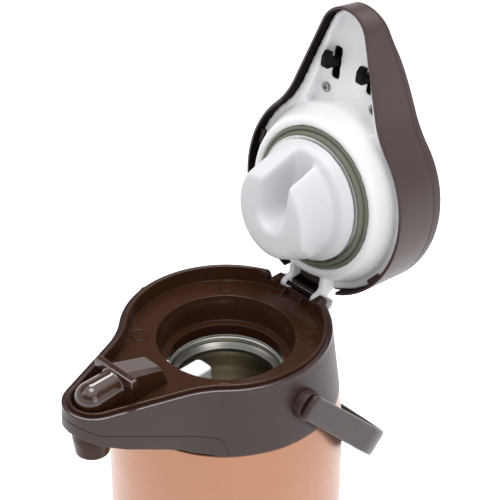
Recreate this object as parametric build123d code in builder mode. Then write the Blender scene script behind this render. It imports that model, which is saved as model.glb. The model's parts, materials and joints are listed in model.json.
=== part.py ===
from math import cos, hypot, radians, sin, sqrt
import os

from build123d import *

os.makedirs("parts", exist_ok=True)

# Height of the shoulder rim above the table; every height below is measured from the rim.
RIM = 270.0

# Teardrop outline of the shoulder rim, seen from above, spout toward -Y.
RIM_R = 66.45
NOSE_R = 19.97
NOSE_Y = 106.0
TAPER = radians(19.9)
WAIST_R = 59.75

# Copper-coloured casing, and where it stands above the table.
CASE_R = 75.0
CASE_TOP_R = 71.7
CASE_MID_R = CASE_TOP_R + 0.73 * (CASE_R - CASE_TOP_R)
CASE_T = 0.8
BASE_H = 20.0
CASE_BOTTOM = BASE_H - RIM
FLANGE_H = -38.0
FLANGE_R = 47.0
FOOT_IN = CASE_R - 11.0
BASE_SCREW_R = CASE_R - 7.0

# Shoulder housing, the moulding between the casing and the lid.
SKIRT_H = -46.0
SKIRT_R = CASE_TOP_R + 0.3
SKIRT_NOSE_R = 21.5
WALL = 2.4
LEDGE_IN = -3.5
SHELF_IN = -4.4
LIP_IN = -5.4
LIP_H = 1.8
SHELF_H = -2.0

# Deck pan with the mouth.
DECK_H = -8.8
DECK_T = 2.4
MOUTH_R = 43.5
BORE_R = 41.4
BORE_H = -26.5
PACK_R = 36.3
PACK_H = -34.4
COLUMN_XY = 38.0
COLUMN_R = 5.0
CAP_R = 6.0

# Flask mouth, neck and body.
LIP_R = 36.8
LIP_CREST = -35.2
NECK_R = 33.2
FLASK_T = 0.8
FLASK_R = CASE_R - 13.0
FLASK_BOTTOM = -240.0
SHELL_R = CASE_R - 7.0

# Base and swivel plate, heights above the table.
BASE_R = CASE_R + 1.5
SWIVEL_R = 63.0
HUB_R = 9.0

# Lid hinge at the rear of the rim.
HINGE_Y = 67.0
HINGE_H = -6.3
PIN_R = 1.6
OPEN = radians(98.0)
ARM_IN = 11.2
ARM_OUT = 15.2
NOTCH = 22.6
NOTCH_R = 6.0

# Lid heights, measured from the rim with the lid shut.
LID_GROW = -0.33
LID_GAP = 0.3
LID_TOP_GROW = -1.5
LID_WALL = 2.2
PLATE_H = 6.5
PLATE_T = 2.0
POCKET_H = 14.8
POCKET_T = 1.6
ANNULUS_H = -4.1
PLUG_TOP_R = 37.5
PLUG_R = 30.3
PLUG_END = -43.0
PLUG_SHELF = -16.0
NECK_TUBE_R = 36.2
BUTTON_R = 44.0
LATCH_Y = -88.0
LATCH_H = 22.0

# Carrying handle.
PIVOT_H = -22.0
HANDLE_IN = SKIRT_R + 3.0
HANDLE_T = 5.0
HANDLE_END = 8.0
HANDLE_BEND = 70.3
BOW = radians(28.0)
HANDLE_CORNER = 44.0
FOLD = radians(46.0)

# Spout seen from the side: lower edge of the skirt and seam of the underside cover.
EDGE = [(-48, -47), (-64.6, -42), (-70, -38.5), (-89, -31.5), (-103, -26.5), (-116, -20)]
EDGE_TIP = [(-124.5, -15), (-130, -12)]
SEAM = [(-130, -4), (-126, -6), (-117, -11.5), (-70, -28), (-51.5, -33), (-48.8, -36), (-48, -47)]

# Lid seen from the side: seam between wall and cover, and the top surface.
LID_SEAM = [(-130, 12.5), (-124, 15.5), (-113, 18.5), (-89, 26.5), (-65, 32), (75, 32)]
LID_TOP = [(-128, 15.5), (-122, 18.5), (-106, 24.5), (-98, 28), (-76, 34.5), (-63, 37)]
LID_TOP_REAR = [(-40, 38.8), (0, 39), (50, 36), (72, 32.8)]

BODY = Plane(origin=(0, 0, RIM), x_dir=(1, 0, 0), z_dir=(0, 0, 1))
SIDE = Plane(origin=(0, 0, RIM), x_dir=(0, 1, 0), z_dir=(1, 0, 0))
FRONT = Plane(origin=(0, 0, RIM), x_dir=(1, 0, 0), z_dir=(0, -1, 0))

# The lid is drawn in its own frame, which stands open at rest.
LID_Y = HINGE_Y - HINGE_Y * cos(OPEN) - HINGE_H * sin(OPEN)
LID_Z = RIM + HINGE_H + HINGE_Y * sin(OPEN) - HINGE_H * cos(OPEN)
LID = Plane(origin=(0, LID_Y, LID_Z), x_dir=(1, 0, 0), z_dir=(0, sin(OPEN), cos(OPEN)))
LID_SIDE = Plane(origin=LID.origin, x_dir=LID.y_dir, z_dir=LID.x_dir)
LID_FRONT = Plane(origin=LID.origin, x_dir=LID.x_dir, z_dir=-LID.y_dir)
LID_AXIS = Axis(LID.origin, LID.z_dir)

HANDLE = Plane(
    origin=(0, 0, RIM + PIVOT_H), x_dir=(1, 0, 0), z_dir=(0, sin(FOLD), cos(FOLD))
)
HANDLE_SIDE = Plane(origin=HANDLE.origin, x_dir=HANDLE.y_dir, z_dir=HANDLE.x_dir)


def outline(grow, main=RIM_R, nose=NOSE_R, waist=WAIST_R):
    """Teardrop outline, grown outward by the given distance."""
    big = main + grow
    tip = nose + grow
    fil = waist - grow
    ux, uy = sin(TAPER), cos(TAPER)
    nx, ny = cos(TAPER), -sin(TAPER)
    px, py = tip * nx, tip * ny - NOSE_Y
    ax, ay = px + fil * nx, py + fil * ny
    along = ax * ux + ay * uy
    t = -along - sqrt(along * along - (ax * ax + ay * ay - (big + fil) ** 2))
    fx, fy = ax + t * ux, ay + t * uy
    lx, ly = fx - fil * nx, fy - fil * ny
    mx, my = fx * big / (big + fil), fy * big / (big + fil)
    hx, hy = (lx + mx) / 2 - fx, (ly + my) / 2 - fy
    k = fil / hypot(hx, hy)
    wx, wy = fx + hx * k, fy + hy * k
    with BuildSketch(Plane.XY) as shape:
        with BuildLine():
            ThreePointArc((-px, py), (0, -NOSE_Y - tip), (px, py))
            Line((px, py), (lx, ly))
            ThreePointArc((lx, ly), (wx, wy), (mx, my))
            ThreePointArc((mx, my), (0, big), (-mx, my))
            ThreePointArc((-mx, my), (-wx, wy), (-lx, ly))
            Line((-lx, ly), (-px, py))
        make_face()
    return shape.sketch_local


def tapered(base, low, grow_low, high, grow_high):
    """Solid between two teardrop outlines at two heights."""
    with BuildPart() as body:
        with BuildSketch(base.offset(low)):
            add(outline(grow_low))
        with BuildSketch(base.offset(high)):
            add(outline(grow_high))
        loft(ruled=True)
    return body.part


def flared(inset):
    """Solid under the rim, widening downward to the skirt, shrunk by the inset."""
    with BuildPart() as body:
        with BuildSketch(BODY.offset(SKIRT_H)):
            add(outline(-inset, main=SKIRT_R, nose=SKIRT_NOSE_R, waist=WAIST_R - 2.5))
        with BuildSketch(BODY):
            add(outline(-inset))
        loft(ruled=True)
    return body.part


def side_slab(plane, points, half_width):
    """Straight slab across the part with the given side view."""
    with BuildPart() as slab:
        with BuildSketch(plane):
            with BuildLine():
                Polyline(*points, close=True)
            make_face()
        extrude(amount=half_width, both=True)
    return slab.part


def ring(plane, low, high, outer, inner=0.0):
    """Round ring or disc between two heights."""
    with BuildPart() as body:
        with BuildSketch(plane.offset(low)):
            Circle(outer)
            if inner > 0:
                Circle(inner, mode=Mode.SUBTRACT)
        extrude(amount=high - low)
    return body.part


def turned(plane, axis, points):
    """Turned body from a closed profile of (radius, height) points."""
    with BuildPart() as body:
        with BuildSketch(plane):
            with BuildLine():
                Polyline(*points, close=True)
            make_face()
        revolve(axis=axis)
    return body.part


def block(plane, x0, x1, y0, y1, z0, z1):
    """Rectangular block given by its limits in the plane's own frame."""
    with BuildPart() as body:
        with BuildSketch(plane.offset(z0)):
            with Locations(((x0 + x1) / 2, (y0 + y1) / 2)):
                Rectangle(x1 - x0, y1 - y0)
        extrude(amount=z1 - z0)
    return body.part


def rod(plane, u, v, radius, start, end):
    """Round rod along the plane's normal, centred at (u, v), between two offsets."""
    with BuildPart() as body:
        with BuildSketch(plane.offset(start)):
            with Locations((u, v)):
                Circle(radius)
        extrude(amount=end - start)
    return body.part


def coil(turns, length, radius, wire):
    """Round-wire spring standing on the XY plane."""
    with BuildPart() as body:
        with BuildLine() as path:
            Helix(pitch=length / turns, height=length, radius=radius)
        with BuildSketch(Plane(origin=path.line @ 0, z_dir=path.line % 0)):
            Circle(wire)
        sweep(path=path.line, is_frenet=True)
    return body.part


BODY_AXIS = Axis.Z
EDGE_LINE = EDGE + EDGE_TIP
UNDER = side_slab(SIDE, EDGE_LINE + [(-130, -60), (-48, -60)], 80)
FLOOR_TOP = side_slab(
    SIDE, [(y, z + WALL) for y, z in EDGE_LINE] + [(-130, -60), (-48, -60)], 80
)
COVER_ZONE = side_slab(SIDE, SEAM + [(-48, -60), (-130, -60)], 80)


def shoulder_shell():
    """Hollow shoulder and spout, before it is split along the seam."""
    with BuildPart() as shell:
        add(flared(0.0))
        add(UNDER, mode=Mode.SUBTRACT)
        with BuildPart(mode=Mode.PRIVATE) as floor:
            add(FLOOR_TOP)
            add(ring(BODY, -70, 20, CASE_TOP_R + 0.3), mode=Mode.SUBTRACT)
        with BuildPart(mode=Mode.PRIVATE) as hollow:
            add(flared(WALL))
            add(ring(BODY, SHELF_H - WALL, 20, 200), mode=Mode.SUBTRACT)
            add(floor.part, mode=Mode.SUBTRACT)
        add(hollow.part, mode=Mode.SUBTRACT)
        add(tapered(BODY, SHELF_H, LEDGE_IN, 5, LEDGE_IN), mode=Mode.SUBTRACT)
        add(tapered(BODY, -12, SHELF_IN, 5, SHELF_IN), mode=Mode.SUBTRACT)
    return shell.part


def hinge_notch(floor):
    """Room for the hinge at the rear of the rim, with rounded shoulders, above the floor."""
    with BuildPart() as room:
        with BuildSketch(FRONT.offset(-80)):
            with BuildLine():
                low = LIP_H - NOTCH_R
                out = NOTCH + NOTCH_R
                mid = NOTCH + NOTCH_R * (1 - sqrt(0.5))
                top = LIP_H - NOTCH_R * (1 - sqrt(0.5))
                Polyline((-NOTCH, low), (-NOTCH, floor), (NOTCH, floor), (NOTCH, low))
                ThreePointArc((NOTCH, low), (mid, top), (out, LIP_H))
                Polyline((out, LIP_H), (out, 6), (-out, 6), (-out, LIP_H))
                ThreePointArc((-out, LIP_H), (-mid, top), (-NOTCH, low))
            make_face()
        extrude(amount=26)
    return room.part


SHELL = shoulder_shell()

with BuildPart() as shoulder_housing:
    add(SHELL)
    add(COVER_ZONE, mode=Mode.SUBTRACT)
    add(hinge_notch(-14.8), mode=Mode.SUBTRACT)
    # Low wall behind the pin, between the arms of the hinge.
    with BuildPart(mode=Mode.PRIVATE) as web:
        add(SHELL)
        add(block(BODY, 1 - ARM_IN, ARM_IN - 1, 60, 80, -14.9, HINGE_H - PIN_R - 0.3), mode=Mode.INTERSECT)
    add(web.part)
shoulder_housing.part.label = "shoulder_housing"
export_step(shoulder_housing.part, "parts/shoulder_housing.step")

NOZZLE_Y = -110.0
PIPE_R = 3.8
PIPE_BORE = 2.8

with BuildPart() as spout_cover:
    add(SHELL)
    add(COVER_ZONE, mode=Mode.INTERSECT)
    add(rod(BODY, 0, NOZZLE_Y, 12.05, -40, -14), mode=Mode.SUBTRACT)
spout_cover.part.label = "spout_cover"
export_step(spout_cover.part, "parts/spout_cover.step")

with BuildPart() as spout_nozzle:
    add(
        turned(
            FRONT.offset(-NOZZLE_Y),
            Axis((0, NOZZLE_Y, 0), (0, 0, 1)),
            [
                (PIPE_R + 0.05, -14),
                (12, -14),
                (12, -24),
                (10.5, -36),
                (9, -36),
                (9, -26),
                (PIPE_R + 0.05, -26),
            ],
        )
    )
spout_nozzle.part.label = "spout_nozzle"
export_step(spout_nozzle.part, "parts/spout_nozzle.step")

# Deck pan: lip, wall, deck, mouth bore and the ledge for the packing.
PIPE_START = -39.5
PIPE_LOW = -24.2
PIPE_HIGH = -3.4
PIPE_Y = -66.0
HEAD_HALF = 6.8
HEAD_BACK = -17.0
HEAD_FRONT = -41.0
HEAD_HIGH = -20.0
HEAD_LOW = -35.0
TUBE_Y = -22.0
EAR_R = 3.6

with BuildPart() as neck_deck:
    add(tapered(BODY, DECK_H - DECK_T, SHELF_IN, SHELF_H, SHELF_IN))
    add(tapered(BODY, SHELF_H, LEDGE_IN, LIP_H, LEDGE_IN))
    add(tapered(BODY, DECK_H, LIP_IN, 5, LIP_IN), mode=Mode.SUBTRACT)
    add(
        turned(
            FRONT,
            BODY_AXIS,
            [
                (0, DECK_H - DECK_T),
                (MOUTH_R + 2, DECK_H - DECK_T),
                (BORE_R + 2, BORE_H - 2),
                (PACK_R + 2, BORE_H - 2),
                (PACK_R + 2, PACK_H),
                (0, PACK_H),
            ],
        )
    )
    for x in (-COLUMN_XY, COLUMN_XY):
        for y in (-COLUMN_XY, COLUMN_XY):
            add(rod(BODY, x, y, COLUMN_R, FLANGE_H, DECK_H - 1))
    add(
        turned(
            FRONT,
            BODY_AXIS,
            [
                (0, 0),
                (MOUTH_R, 0),
                (MOUTH_R, DECK_H),
                (BORE_R, BORE_H),
                (PACK_R, BORE_H),
                (PACK_R, -60),
                (0, -60),
            ],
        ),
        mode=Mode.SUBTRACT,
    )
    # Screw wells and cap recesses.
    for x in (-COLUMN_XY, COLUMN_XY):
        for y in (-COLUMN_XY, COLUMN_XY):
            add(rod(BODY, x, y, CAP_R, DECK_H - 1.2, 0), mode=Mode.SUBTRACT)
            add(rod(BODY, x, y, 3.6, -24, 0), mode=Mode.SUBTRACT)
            add(rod(BODY, x, y, 1.7, -60, 0), mode=Mode.SUBTRACT)
    # Slot for the pipe in the deck and its hole in the wall of the bore.
    add(block(BODY, -6, 6, -115, -60.5, -15, 0), mode=Mode.SUBTRACT)
    add(rod(FRONT, 0, PIPE_LOW, PIPE_R + 0.05, -PIPE_START, 50), mode=Mode.SUBTRACT)
    # Hinge bay: low ribbed wall in front of the pin, with two ears that carry it.
    add(hinge_notch(-4.6), mode=Mode.SUBTRACT)
    for x0, x1 in ((-20, -ARM_OUT - 0.4), (ARM_OUT + 0.4, 20)):
        add(rod(SIDE, HINGE_Y, HINGE_H, EAR_R, x0, x1))
        add(block(BODY, x0, x1, 58, HINGE_Y, DECK_H - DECK_T, HINGE_H + EAR_R))
    for x in (-7.4, 7.4):
        rib = [(54.5, DECK_H - 1), (60.5, DECK_H - 1), (60.5, -4.8), (59.5, -4.8)]
        add(side_slab(SIDE.offset(x), rib, 0.6))
    add(rod(SIDE, HINGE_Y, HINGE_H, PIN_R, -30, 30), mode=Mode.SUBTRACT)
neck_deck.part.label = "neck_deck"
export_step(neck_deck.part, "parts/neck_deck.step")

with BuildPart() as deck_screw_caps:
    for x in (-COLUMN_XY, COLUMN_XY):
        for y in (-COLUMN_XY, COLUMN_XY):
            add(rod(BODY, x, y, CAP_R - 0.05, DECK_H - 1.2, DECK_H + 0.2))
deck_screw_caps.part.label = "deck_screw_caps"
export_step(deck_screw_caps.part, "parts/deck_screw_caps.step")

with BuildPart() as deck_screws:
    for x in (-COLUMN_XY, COLUMN_XY):
        for y in (-COLUMN_XY, COLUMN_XY):
            add(rod(BODY, x, y, 3.3, -24, -22))
            add(rod(BODY, x, y, 1.6, -42, -24))
deck_screws.part.label = "deck_screws"
export_step(deck_screws.part, "parts/deck_screws.step")

with BuildPart() as hinge_pin:
    add(rod(SIDE, HINGE_Y, HINGE_H, PIN_R, -20.6, 20.6))
hinge_pin.part.label = "hinge_pin"
export_step(hinge_pin.part, "parts/hinge_pin.step")

# Water way: head on the ledge of the bore, dip tube, pipe in the spout.
with BuildPart() as dip_tube_head:
    with BuildPart(mode=Mode.PRIVATE) as perch:
        add(ring(BODY, BORE_H, HEAD_HIGH, HEAD_FRONT * -1, PACK_R + 0.3))
        add(block(BODY, -19.5, 19.5, HEAD_FRONT, 0, BORE_H, 0), mode=Mode.INTERSECT)
    with BuildPart(mode=Mode.PRIVATE) as trunk:
        add(block(BODY, -HEAD_HALF, HEAD_HALF, HEAD_FRONT, HEAD_BACK, BORE_H, HEAD_HIGH))
        add(ring(BODY, BORE_H, HEAD_HIGH, HEAD_FRONT * -1), mode=Mode.INTERSECT)
    with BuildPart(mode=Mode.PRIVATE) as root:
        add(block(BODY, -HEAD_HALF, HEAD_HALF, -36, HEAD_BACK, HEAD_LOW, HEAD_HIGH))
        add(ring(BODY, HEAD_LOW, HEAD_HIGH, 35.2), mode=Mode.INTERSECT)
        corners = root.edges().filter_by(Axis.Z).group_by(Axis.Y)[-1]
        fillet(corners, radius=3.0)
    add(trunk.part)
    back = dip_tube_head.edges().filter_by(Axis.Z).group_by(Axis.Y)[-1]
    fillet(back, radius=3.0)
    add(root.part)
    add(perch.part)
    add(rod(BODY, 0, TUBE_Y, 4.6, -46, HEAD_LOW + 1))
    add(rod(FRONT, 0, PIPE_LOW, PIPE_BORE, -TUBE_Y, 45), mode=Mode.SUBTRACT)
    add(rod(FRONT, 0, PIPE_LOW, PIPE_R + 0.05, -PIPE_START, 45), mode=Mode.SUBTRACT)
    add(rod(BODY, 0, TUBE_Y, 2.6, -46, PIPE_LOW), mode=Mode.SUBTRACT)
    add(rod(BODY, 0, TUBE_Y, 3.6, -46, -37), mode=Mode.SUBTRACT)
dip_tube_head.part.label = "dip_tube_head"
export_step(dip_tube_head.part, "parts/dip_tube_head.step")

with BuildPart() as dip_tube:
    add(ring(Plane(origin=(0, TUBE_Y, RIM)), FLASK_BOTTOM + 8, -37, 3.6, 2.6))
dip_tube.part.label = "dip_tube"
export_step(dip_tube.part, "parts/dip_tube.step")

with BuildPart() as discharge_pipe:
    with BuildLine(SIDE) as run:
        FilletPolyline(
            (PIPE_START, PIPE_LOW),
            (PIPE_Y, PIPE_LOW),
            (PIPE_Y, PIPE_HIGH),
            (NOZZLE_Y, PIPE_HIGH),
            (NOZZLE_Y, -24),
            radius=6.0,
        )
    with BuildSketch(Plane(origin=(0, PIPE_START, RIM + PIPE_LOW), z_dir=(0, -1, 0))):
        Circle(PIPE_R)
        Circle(PIPE_BORE, mode=Mode.SUBTRACT)
    sweep(path=run.wire())
discharge_pipe.part.label = "discharge_pipe"
export_step(discharge_pipe.part, "parts/discharge_pipe.step")

with BuildPart() as pipe_seal:
    seat = Plane(origin=(0, -45.0, RIM + PIPE_LOW), x_dir=(1, 0, 0), z_dir=(0, -1, 0))
    add(ring(seat, 0, 4, 5.2, PIPE_R))
pipe_seal.part.label = "pipe_seal"
export_step(pipe_seal.part, "parts/pipe_seal.step")

# Cover over the pipe on the deck, with the crossbar the lid latch grips.
COVER_REAR = -57.0
BAR_REAR = -87.0
BAR_FRONT = -92.0
BAR_HALF = 16.5
BAR_TOP = 13.7
BAR_LOW = 8.0
DOME_R = 10.3
DOME_H = 2.4
DOME_Y = -108.8


def cover_section(shoulder, top):
    """Closed section of the rear part of the cover."""
    right = [(9.8, DECK_H), (9.0, shoulder), (7.0, top)]
    left = [(-x, z) for x, z in reversed(right)]
    with BuildSketch(Plane.XY) as shape:
        with BuildLine():
            Polyline(*right, *left, close=True)
        make_face()
    return shape.sketch_local


with BuildPart() as pipe_cover:
    with BuildSketch(FRONT.offset(-COVER_REAR)):
        add(cover_section(0.8, 2.7))
    with BuildSketch(FRONT.offset(1 - BAR_REAR)):
        add(cover_section(9.7, 13.0))
    loft(ruled=True)
    slope = [(COVER_REAR, DECK_H), (-61.0, 4.0), (-55, 20), (-55, DECK_H)]
    add(side_slab(SIDE, slope, 20), mode=Mode.SUBTRACT)
    add(block(BODY, -DOME_R, DOME_R, DOME_Y, BAR_REAR, DECK_H, DOME_H))
    add(rod(FRONT, 0, DOME_H, DOME_R, -BAR_REAR, -DOME_Y))
    add(rod(BODY, 0, DOME_Y, DOME_R, DECK_H, DOME_H))
    with Locations((0, DOME_Y, RIM + DOME_H)):
        Sphere(DOME_R)
    with BuildSketch(FRONT.offset(-BAR_REAR)):
        with BuildLine():
            Polyline(
                (-11.6, DECK_H),
                (-10.4, -6),
                (-11.2, BAR_LOW + 1),
                (11.2, BAR_LOW + 1),
                (10.4, -6),
                (11.6, DECK_H),
                close=True,
            )
        make_face()
    extrude(amount=BAR_REAR - BAR_FRONT)
    add(block(BODY, -BAR_HALF, BAR_HALF, BAR_FRONT, BAR_REAR, BAR_LOW, BAR_TOP))
    pipe_room = [
        (-61.8, DECK_H),
        (-61.8, 1.2),
        (-105, 1.2),
        (-110.5, -0.8),
        (-114.6, -5.5),
        (-115, DECK_H),
    ]
    add(side_slab(SIDE, pipe_room, 5.2), mode=Mode.SUBTRACT)
pipe_cover.part.label = "pipe_cover"
export_step(pipe_cover.part, "parts/pipe_cover.step")

# Flask: inner and outer steel shells joined under the rolled lip.
INNER_LINE = [
    (38.6, -40),
    (38.6, -37),
    (LIP_R, LIP_CREST),
    (35.5, -36.3),
    (34.9, -38.2),
    (35.7, -39.8),
    (34.6, -41.3),
    (NECK_R, -43.4),
    (NECK_R, -46),
    (36.4, -51),
    (45.6, -63),
    (FLASK_R - 10, -72),
    (FLASK_R - 4, -84),
    (FLASK_R, -98),
    (FLASK_R, FLASK_BOTTOM + 14),
    (FLASK_R - 6, FLASK_BOTTOM + 4),
    (FLASK_R - 18, FLASK_BOTTOM),
    (0, FLASK_BOTTOM),
]
with BuildPart() as flask_inner:
    with BuildSketch(FRONT):
        with BuildLine():
            Polyline(*INNER_LINE)
            offset(amount=FLASK_T, side=Side.LEFT)
        make_face()
    revolve(axis=Axis.Z)
flask_inner.part.label = "flask_inner"
export_step(flask_inner.part, "parts/flask_inner.step")

OUTER_LINE = [
    (37.8, -37.6),
    (37.8, -47),
    (45, -54.5),
    (SHELL_R - 16, -61),
    (SHELL_R - 4, -76),
    (SHELL_R, -92),
    (SHELL_R, FLASK_BOTTOM + 10),
    (SHELL_R - 8, FLASK_BOTTOM - 3),
    (SHELL_R - 22, FLASK_BOTTOM - 7),
    (0, FLASK_BOTTOM - 7),
]
with BuildPart() as flask_outer:
    with BuildSketch(FRONT):
        with BuildLine():
            Polyline(*OUTER_LINE)
            offset(amount=FLASK_T, side=Side.RIGHT)
        make_face()
    revolve(axis=Axis.Z)
flask_outer.part.label = "flask_outer"
export_step(flask_outer.part, "parts/flask_outer.step")

with BuildPart() as neck_packing:
    add(ring(BODY, LIP_CREST, PACK_H, 40.5, 35.6))
    add(ring(BODY, -39, LIP_CREST, 40.5, 38.6))
neck_packing.part.label = "neck_packing"
export_step(neck_packing.part, "parts/neck_packing.step")

# Casing: straight tube drawn in to the shoulder, with a screw flange inside the skirt.
with BuildPart() as casing:
    with BuildSketch(FRONT):
        with BuildLine():
            Polyline((FOOT_IN, CASE_BOTTOM), (CASE_R, CASE_BOTTOM), (CASE_R, -92))
            Spline(
                (CASE_R, -92),
                (CASE_MID_R, -70),
                (CASE_TOP_R, -46.6),
                tangents=[(0, 1), (-0.12, 1)],
            )
            Polyline(
                (CASE_TOP_R, -46.6),
                (CASE_TOP_R - 0.4, -46.1),
                (CASE_TOP_R - 2.4, -46.1),
                (CASE_TOP_R - 3.3, FLANGE_H),
                (FLANGE_R, FLANGE_H),
                (FLANGE_R, FLANGE_H - CASE_T),
                (CASE_TOP_R - 4.2, FLANGE_H - CASE_T),
                (CASE_TOP_R - 3.3, -47.0),
                (CASE_TOP_R - 1.0, -47.4),
            )
            Spline(
                (CASE_TOP_R - 1.0, -47.4),
                (CASE_MID_R - CASE_T, -70),
                (CASE_R - CASE_T, -92),
                tangents=[(0.12, -1), (0, -1)],
            )
            Polyline(
                (CASE_R - CASE_T, -92),
                (CASE_R - CASE_T, CASE_BOTTOM + CASE_T),
                (FOOT_IN, CASE_BOTTOM + CASE_T),
                (FOOT_IN, CASE_BOTTOM),
            )
        make_face()
    revolve(axis=Axis.Z)
    for x in (-COLUMN_XY, COLUMN_XY):
        for y in (-COLUMN_XY, COLUMN_XY):
            add(rod(BODY, x, y, 1.6, -50, -30), mode=Mode.SUBTRACT)
    with BuildSketch(BODY.offset(CASE_BOTTOM - 1)):
        with PolarLocations(BASE_SCREW_R, 4, start_angle=45):
            Circle(1.6)
    extrude(amount=4, mode=Mode.SUBTRACT)
casing.part.label = "casing"
export_step(casing.part, "parts/casing.step")

# Cradle that holds the bottom of the flask.
with BuildPart() as flask_cradle:
    add(
        turned(
            FRONT,
            BODY_AXIS,
            [
                (SHELL_R - 18, CASE_BOTTOM + CASE_T),
                (CASE_R - 2, CASE_BOTTOM + CASE_T),
                (CASE_R - 2, CASE_BOTTOM + 16),
                (CASE_R - 5, CASE_BOTTOM + 22),
                (SHELL_R + 0.05, CASE_BOTTOM + 22),
                (SHELL_R + 0.05, FLASK_BOTTOM + 10),
                (SHELL_R - 8, FLASK_BOTTOM - 3),
                (SHELL_R - 18, FLASK_BOTTOM - 5.86),
            ],
        )
    )
    with BuildSketch(BODY.offset(CASE_BOTTOM)):
        with PolarLocations(BASE_SCREW_R, 4, start_angle=45):
            Circle(1.5)
    extrude(amount=9, mode=Mode.SUBTRACT)
flask_cradle.part.label = "flask_cradle"
export_step(flask_cradle.part, "parts/flask_cradle.step")

FLOOR = Plane.XY
with BuildPart() as base_cover:
    add(ring(FLOOR, 4.5, 23, BASE_R))
    base_edge = base_cover.edges().filter_by(GeomType.CIRCLE).group_by(Axis.Z)[0]
    chamfer(base_edge, length=2.0)
    add(ring(FLOOR, 20, 30, CASE_R + 0.05), mode=Mode.SUBTRACT)
    add(ring(FLOOR, 7, 30, BASE_R - 4), mode=Mode.SUBTRACT)
    with BuildSketch(FLOOR.offset(7)):
        with PolarLocations(BASE_SCREW_R, 4, start_angle=45):
            Circle(4.2)
    extrude(amount=13)
    with BuildSketch(FLOOR.offset(0)):
        with PolarLocations(BASE_SCREW_R, 4, start_angle=45):
            Circle(3.2)
    extrude(amount=10, mode=Mode.SUBTRACT)
    with BuildSketch(FLOOR.offset(0)):
        with PolarLocations(BASE_SCREW_R, 4, start_angle=45):
            Circle(1.6)
    extrude(amount=30, mode=Mode.SUBTRACT)
    add(ring(FLOOR, 0, 9, HUB_R + 0.3), mode=Mode.SUBTRACT)
base_cover.part.label = "base_cover"
export_step(base_cover.part, "parts/base_cover.step")

with BuildPart() as base_screws:
    with BuildSketch(FLOOR.offset(8.2)):
        with PolarLocations(BASE_SCREW_R, 4, start_angle=45):
            Circle(3.0)
    extrude(amount=1.8)
    with BuildSketch(FLOOR.offset(10)):
        with PolarLocations(BASE_SCREW_R, 4, start_angle=45):
            Circle(1.5)
    extrude(amount=18)
base_screws.part.label = "base_screws"
export_step(base_screws.part, "parts/base_screws.step")

# Swivel plate under the base, its rubber foot and the parts that retain it.
with BuildPart() as swivel_base:
    add(ring(FLOOR, 1.2, 4.2, SWIVEL_R))
    add(ring(FLOOR, 4.2, 7.4, HUB_R))
    add(ring(FLOOR, 1.2, 10, 2.0), mode=Mode.SUBTRACT)
swivel_base.part.label = "swivel_base"
export_step(swivel_base.part, "parts/swivel_base.step")

with BuildPart() as base_foot:
    add(ring(FLOOR, 0, 1.2, 61, 53))
base_foot.part.label = "base_foot"
export_step(base_foot.part, "parts/base_foot.step")

with BuildPart() as swivel_washer:
    add(ring(FLOOR, 7.4, 8.6, 14, 2.0))
swivel_washer.part.label = "swivel_washer"
export_step(swivel_washer.part, "parts/swivel_washer.step")

with BuildPart() as swivel_screw:
    add(ring(FLOOR, 1.8, 8.6, 2.0))
    add(ring(FLOOR, 8.6, 10.8, 4.0))
swivel_screw.part.label = "swivel_screw"
export_step(swivel_screw.part, "parts/swivel_screw.step")

# Handle pivots on both sides of the shoulder, and the carrying handle.
RIGHT = Plane(origin=(0, 0, RIM + PIVOT_H), x_dir=(0, 1, 0), z_dir=(1, 0, 0))
LEFT = Plane(origin=(0, 0, RIM + PIVOT_H), x_dir=(0, 1, 0), z_dir=(-1, 0, 0))
with BuildPart() as pivot_collars:
    for side in (RIGHT, LEFT):
        add(ring(side, SKIRT_R - 10, HANDLE_IN - 0.3, 9.8, 4.0))
    add(flared(0.0), mode=Mode.SUBTRACT)
pivot_collars.part.label = "pivot_collars"
export_step(pivot_collars.part, "parts/pivot_collars.step")

with BuildPart() as handle_pins:
    for side in (RIGHT, LEFT):
        add(ring(side, SKIRT_R - 2.5, HANDLE_IN + 3.0, 4.0))
    add(flared(0.0), mode=Mode.SUBTRACT)
handle_pins.part.label = "handle_pins"
export_step(handle_pins.part, "parts/handle_pins.step")



def bail_outline(half, corner, end):
    """Bail seen along its thickness: straight limbs, round corners, bowed grip."""
    cx, cy = half - corner, HANDLE_BEND
    tip_x, tip_y = cx + corner * sin(BOW), cy + corner * cos(BOW)
    mid_x, mid_y = cx + corner * cos(BOW / 2), cy + corner * sin(BOW / 2)
    grip = tip_y + tip_x / sin(BOW) * (1 - cos(BOW))
    with BuildSketch(Plane.XY) as shape:
        with BuildLine():
            Line((-half, end), (half, end))
            Line((half, end), (half, cy))
            ThreePointArc((half, cy), (mid_x, mid_y), (tip_x, tip_y))
            ThreePointArc((tip_x, tip_y), (0, grip), (-tip_x, tip_y))
            ThreePointArc((-tip_x, tip_y), (-mid_x, mid_y), (-half, cy))
            Line((-half, cy), (-half, end))
        make_face()
    return shape.sketch_local


with BuildPart() as handle:
    with BuildSketch(HANDLE):
        add(bail_outline(HANDLE_IN + HANDLE_T, HANDLE_CORNER, -HANDLE_END))
        add(bail_outline(HANDLE_IN, HANDLE_CORNER - HANDLE_T, -12), mode=Mode.SUBTRACT)
    extrude(amount=12, both=True)
    with BuildSketch(HANDLE_SIDE) as limb:
        with BuildLine():
            Polyline(
                (-HANDLE_END, -8.5), (126, -9.4), (126, 9.4), (-HANDLE_END, 8.5), close=True
            )
        make_face()
        fillet(limb.vertices().group_by(Axis.X)[0], radius=3.0)
    extrude(amount=90, both=True, mode=Mode.INTERSECT)
    with BuildSketch(HANDLE_SIDE):
        Circle(4.05)
    extrude(amount=HANDLE_IN + 3.5, both=True, mode=Mode.SUBTRACT)
handle.part.label = "handle"
export_step(handle.part, "parts/handle.step")

# Lid.
LID_HIGH = 44.0


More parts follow.
